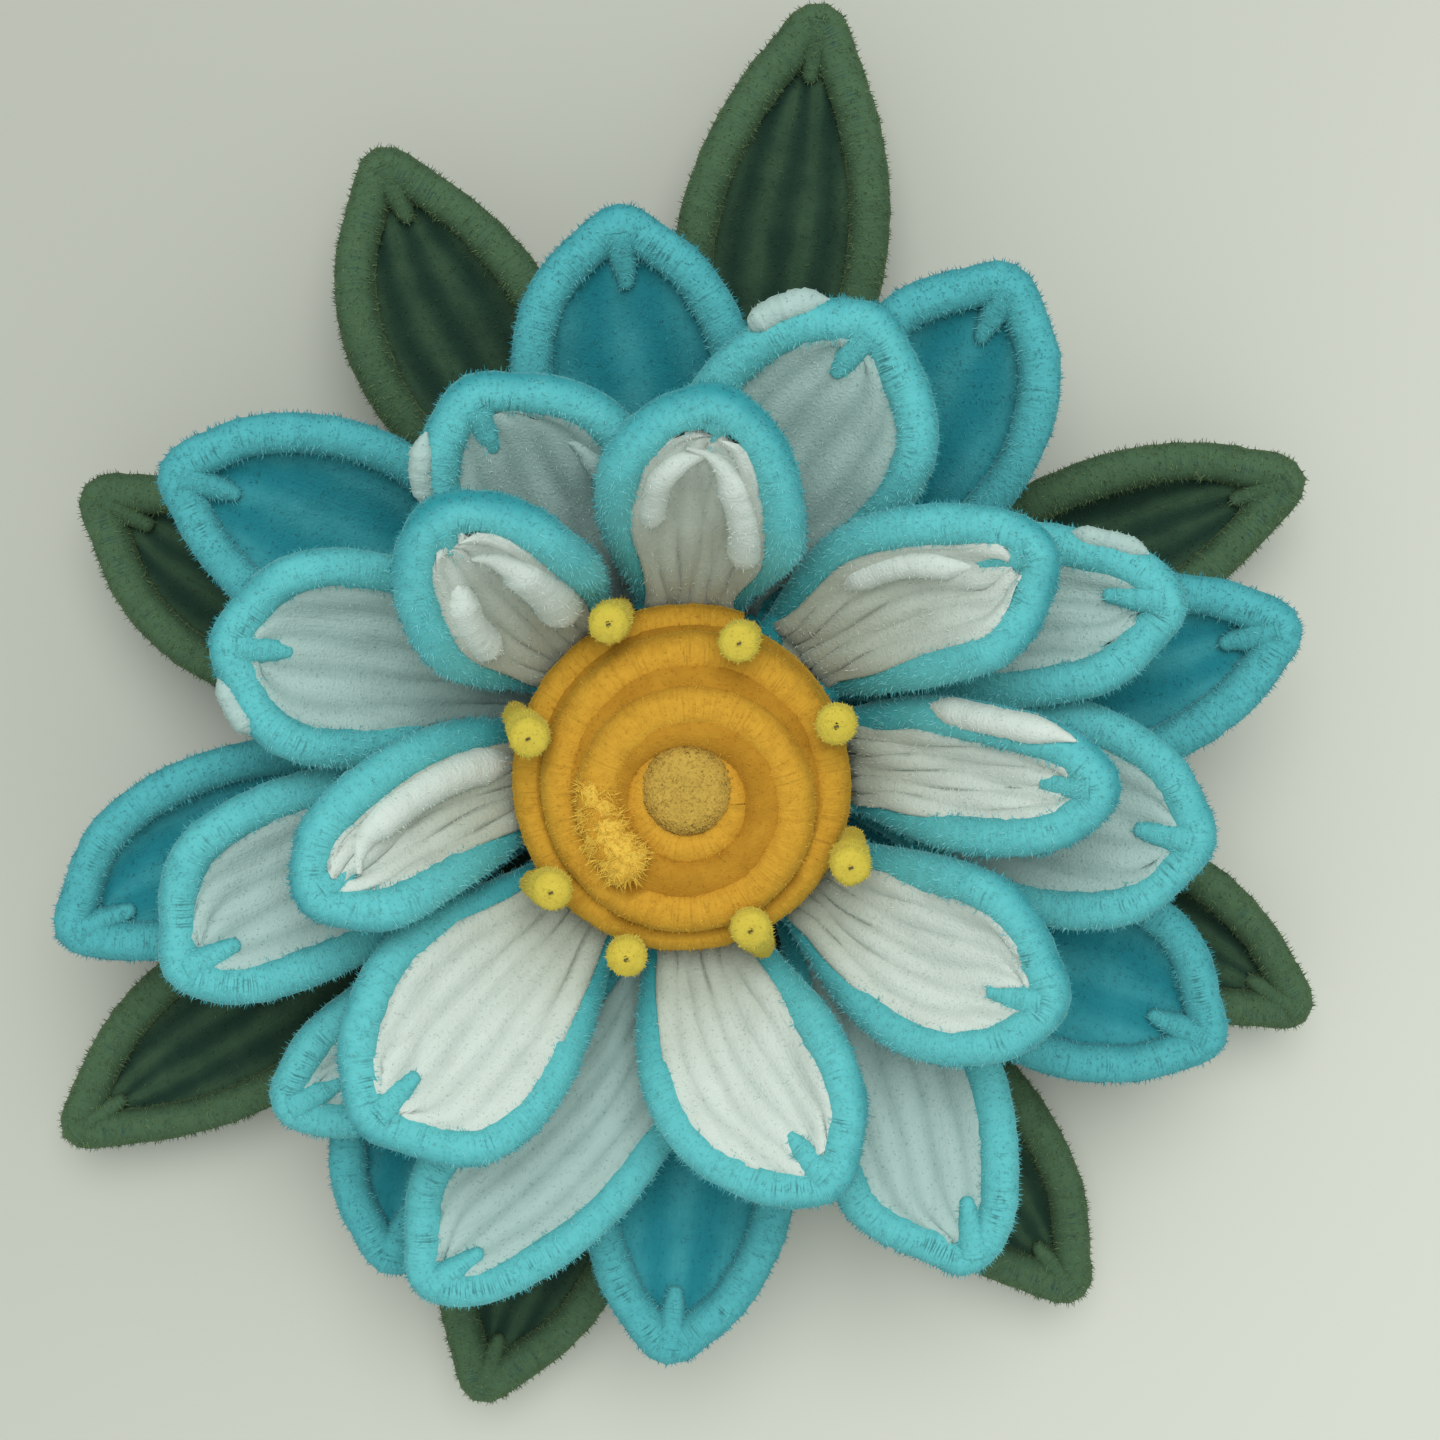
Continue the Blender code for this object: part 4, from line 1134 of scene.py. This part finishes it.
def straw_button(look):
    """The flattened straw pad in the hole of the coil, matted and a little hollow."""
    random = np.random.default_rng(PAD_SEED)
    crown = coil_core(COIL_TURNS)[1] + COIL_PILE_RADIUS - PAD_DROP
    piece = added(bpy.ops.mesh.primitive_ico_sphere_add, subdivisions=PAD_SUBDIVISIONS,
                  radius=1.0)
    points = mesh_points(piece)
    out = np.hypot(points[:, 0], points[:, 1])
    dimple = PAD_DIMPLE * np.exp(-(out / DIMPLE_WIDTH) ** 2) * (points[:, 2] > 0)
    placed = points * (PAD_RADIUS, PAD_RADIUS, PAD_THICKNESS / 2)
    placed[:, 2] += crown - PAD_THICKNESS / 2 - dimple * PAD_THICKNESS
    placed += random.normal(0.0, PAD_WOBBLE, placed.shape)
    move_points(piece, placed)
    bpy.ops.object.shade_smooth()
    crest = PAD_CREST + (1 - PAD_CREST) * np.clip(points[:, 2], 0, 1)
    write_numbers(piece, crest=crest, along=1.0, bare=PAD_BARE)
    piece = grow_pile(piece, PAD_SEED + 1, PAD_PILE)
    finish_piece(piece, "centre_button_pile", look, ["centre_button"])


def stamen_core(stamen):
    """The stamen's path, from beside the coil up to its head."""
    reach = COIL_PILE_RADIUS + STAMEN_FOOT_PILE + SEAT_GAP
    turns = ((stamen.foot_angle - coil_angle(0.0)) % 360.0) / 360.0
    radius, height = coil_core(turns)
    beside = float(radius) + math.sqrt(reach ** 2 - STAMEN_FOOT_RISE ** 2)
    foot_height = float(height) + STAMEN_FOOT_RISE
    top = COIL_BASE_HEIGHT + STAMEN_HEAD_RISE
    foot = direction(stamen.foot_angle) * beside
    head = direction(stamen.head_angle) * stamen.head_radius
    swing = np.array(STAMEN_SWINGS)[:, None]
    rows = foot * (1 - swing) + head * swing
    rows[:, 2] = foot_height + (top - foot_height) * np.array(STAMEN_RISES)
    return even_steps(rows, STAMEN_SPACING)


def stamens(looks):
    """Short yellow stems that lean in over the coil's edge, each with its cut wire."""
    for stamen in STAMENS:
        random = np.random.default_rng(STAMEN_SEED + stamen.number)
        core = stamen_core(stamen)
        share = np.linspace(0.0, 1.0, len(core))
        swollen = smooth_step(share, *STAMEN_SWELL)
        radii = STAMEN_FOOT_PILE + (STAMEN_RADIUS - STAMEN_FOOT_PILE) * swollen
        radii[-1] *= STAMEN_SHOULDER
        head = core[-1]
        for rise, width in STAMEN_TOPS:
            core = np.concatenate([core, [head + (0.0, 0.0, rise)]])
            radii = np.concatenate([radii, [STAMEN_RADIUS * width]])
            share = np.concatenate([share, [1.0]])
        up = unit_rows(head * (1.0, 1.0, 0.0))
        piece = stem("stamen", core, radii, up, share, 0.0, random)
        # painted light, nearly the lit tone all over
        write_numbers(piece, crest=STAMEN_CREST)
        piece = grow_pile(piece, STAMEN_PILE_SEED + stamen.number, STAMEN_PILE)
        name = f"stamen_{stamen.number}"
        finish_piece(piece, name + "_pile", looks["yellow"], [name])
        add_cut_wires(piece, core[-1], looks["wire"])


def add_cut_wires(piece, head, look):
    """The two cut ends of the twisted wire, which show as dark dots in a stamen's head."""
    wires = []
    for shift in (-WIRE_RADIUS, WIRE_RADIUS):
        place = (head[0] + shift, head[1] + shift * WIRE_SLANT, head[2])
        wire = added(bpy.ops.mesh.primitive_cylinder_add, vertices=WIRE_SIDES,
                     radius=WIRE_RADIUS, depth=WIRE_LENGTH, location=place)
        bpy.ops.object.transform_apply(location=True)
        apply_modifier(wire, "BEVEL", width=WIRE_BEVEL, segments=2)
        wire.data.materials.append(look)
        wires.append(wire)
    join([piece] + wires)


def tails(look):
    """The bundle of twisted stem tails that the rings are tied to."""
    random = np.random.default_rng(TAIL_SEED)
    top = COIL_BASE_HEIGHT - COIL_PILE_RADIUS - SEAT_GAP
    height = np.linspace(0.0, top, TAIL_SAMPLES)
    parts = []
    for count, ring_radius, pile in TAIL_RINGS:
        for k in range(count):
            angle = np.radians(360.0 * k / count + TAIL_TWIST * height / top)
            core = np.stack([ring_radius * np.cos(angle), ring_radius * np.sin(angle), height],
                            axis=1)
            up = unit_rows(core * (1.0, 1.0, 0.0))
            parts.append(stem("tail", core, pile, up, TAIL_ALONG, TAIL_BARE, random))
    piece = join(parts)
    points = mesh_points(piece)
    points[:, 2] = np.maximum(points[:, 2], FIBRE_REACH)
    move_points(piece, points)
    piece = grow_pile(piece, TAIL_SEED + 1, TAIL_PILE)
    finish_piece(piece, "hub_pile", look, ["hub"])


# The setting

def make_floor():
    """A plain floor with painted light, a little lighter towards +X and -Y."""
    floor = added(bpy.ops.mesh.primitive_plane_add, size=FLOOR_SIZE)
    floor.name = "floor"
    finish = Finish("floor_look")
    slant = finish.node("ShaderNodeVectorMath", {"operation": "DOT_PRODUCT"},
                        {0: finish.place, 1: (1.0, -1.0, 0.0)}, output="Value")
    # painted light, lighter towards +X and -Y
    tone = finish.step(slant, -FLOOR_LIGHT_FADE, FLOOR_LIGHT_FADE)
    look = finish.dress({
        "Base Color": finish.mixed(tone, opaque(FLOOR_SHADED), opaque(FLOOR_LIT)),
        "Roughness": FLOOR_ROUGHNESS,
        "Specular IOR Level": FLOOR_SPECULAR,
    })
    floor.data.materials.append(look)


def make_lights():
    """A soft lamp high above the flower's far side (+Y), and an even pale surround."""
    lamp = added(bpy.ops.object.light_add, type="AREA", location=LAMP_PLACE)
    lamp.data.shape = "DISK"
    lamp.data.size = LAMP_SIZE
    lamp.data.energy = LAMP_POWER
    lamp.rotation_euler = [math.radians(turn) for turn in LAMP_TURN]
    world = bpy.data.worlds.new("surround")
    bpy.context.scene.world = world
    world.use_nodes = True
    background = world.node_tree.nodes["Background"]
    background.inputs["Color"].default_value = opaque(SURROUND)
    background.inputs["Strength"].default_value = SURROUND_STRENGTH


def make_camera():
    """The photograph's viewpoint: nearly straight above, tilted a little towards +Y."""
    camera = added(bpy.ops.object.camera_add, location=CAMERA_PLACE,
                   rotation=(math.radians(CAMERA_TILT), 0.0, 0.0))
    camera.data.sensor_width = SENSOR_WIDTH
    camera.data.lens = LENS
    camera.data.clip_start = NEAREST
    bpy.context.scene.camera = camera


def main():
    """Build the flower from its back to its front."""
    looks = make_finishes()
    make_camera()
    make_lights()
    make_floor()
    tails(looks["green"])
    one_colour_petals(LEAVES, LEAF_RING, "leaf", looks["green"], LEAF_INSIDE,
                      LEAF_SEED)
    one_colour_petals(OUTER_PETALS, OUTER_RING, "outer_petal", looks["deep_teal"],
                      OUTER_INSIDE, OUTER_SEED)
    two_colour_petals(MIDDLE_PETALS, MIDDLE_RING, "middle_rim", "middle_fill", looks,
                      "shaded_white", MIDDLE_SEED)
    two_colour_petals(INNER_PETALS, INNER_RING, "inner_rim", "inner_fill", looks,
                      "white", INNER_SEED)
    golden_coil(looks["golden"])
    straw_button(looks["straw"])
    stamens(looks)
    bpy.context.scene.view_settings.view_transform = "Standard"


main()
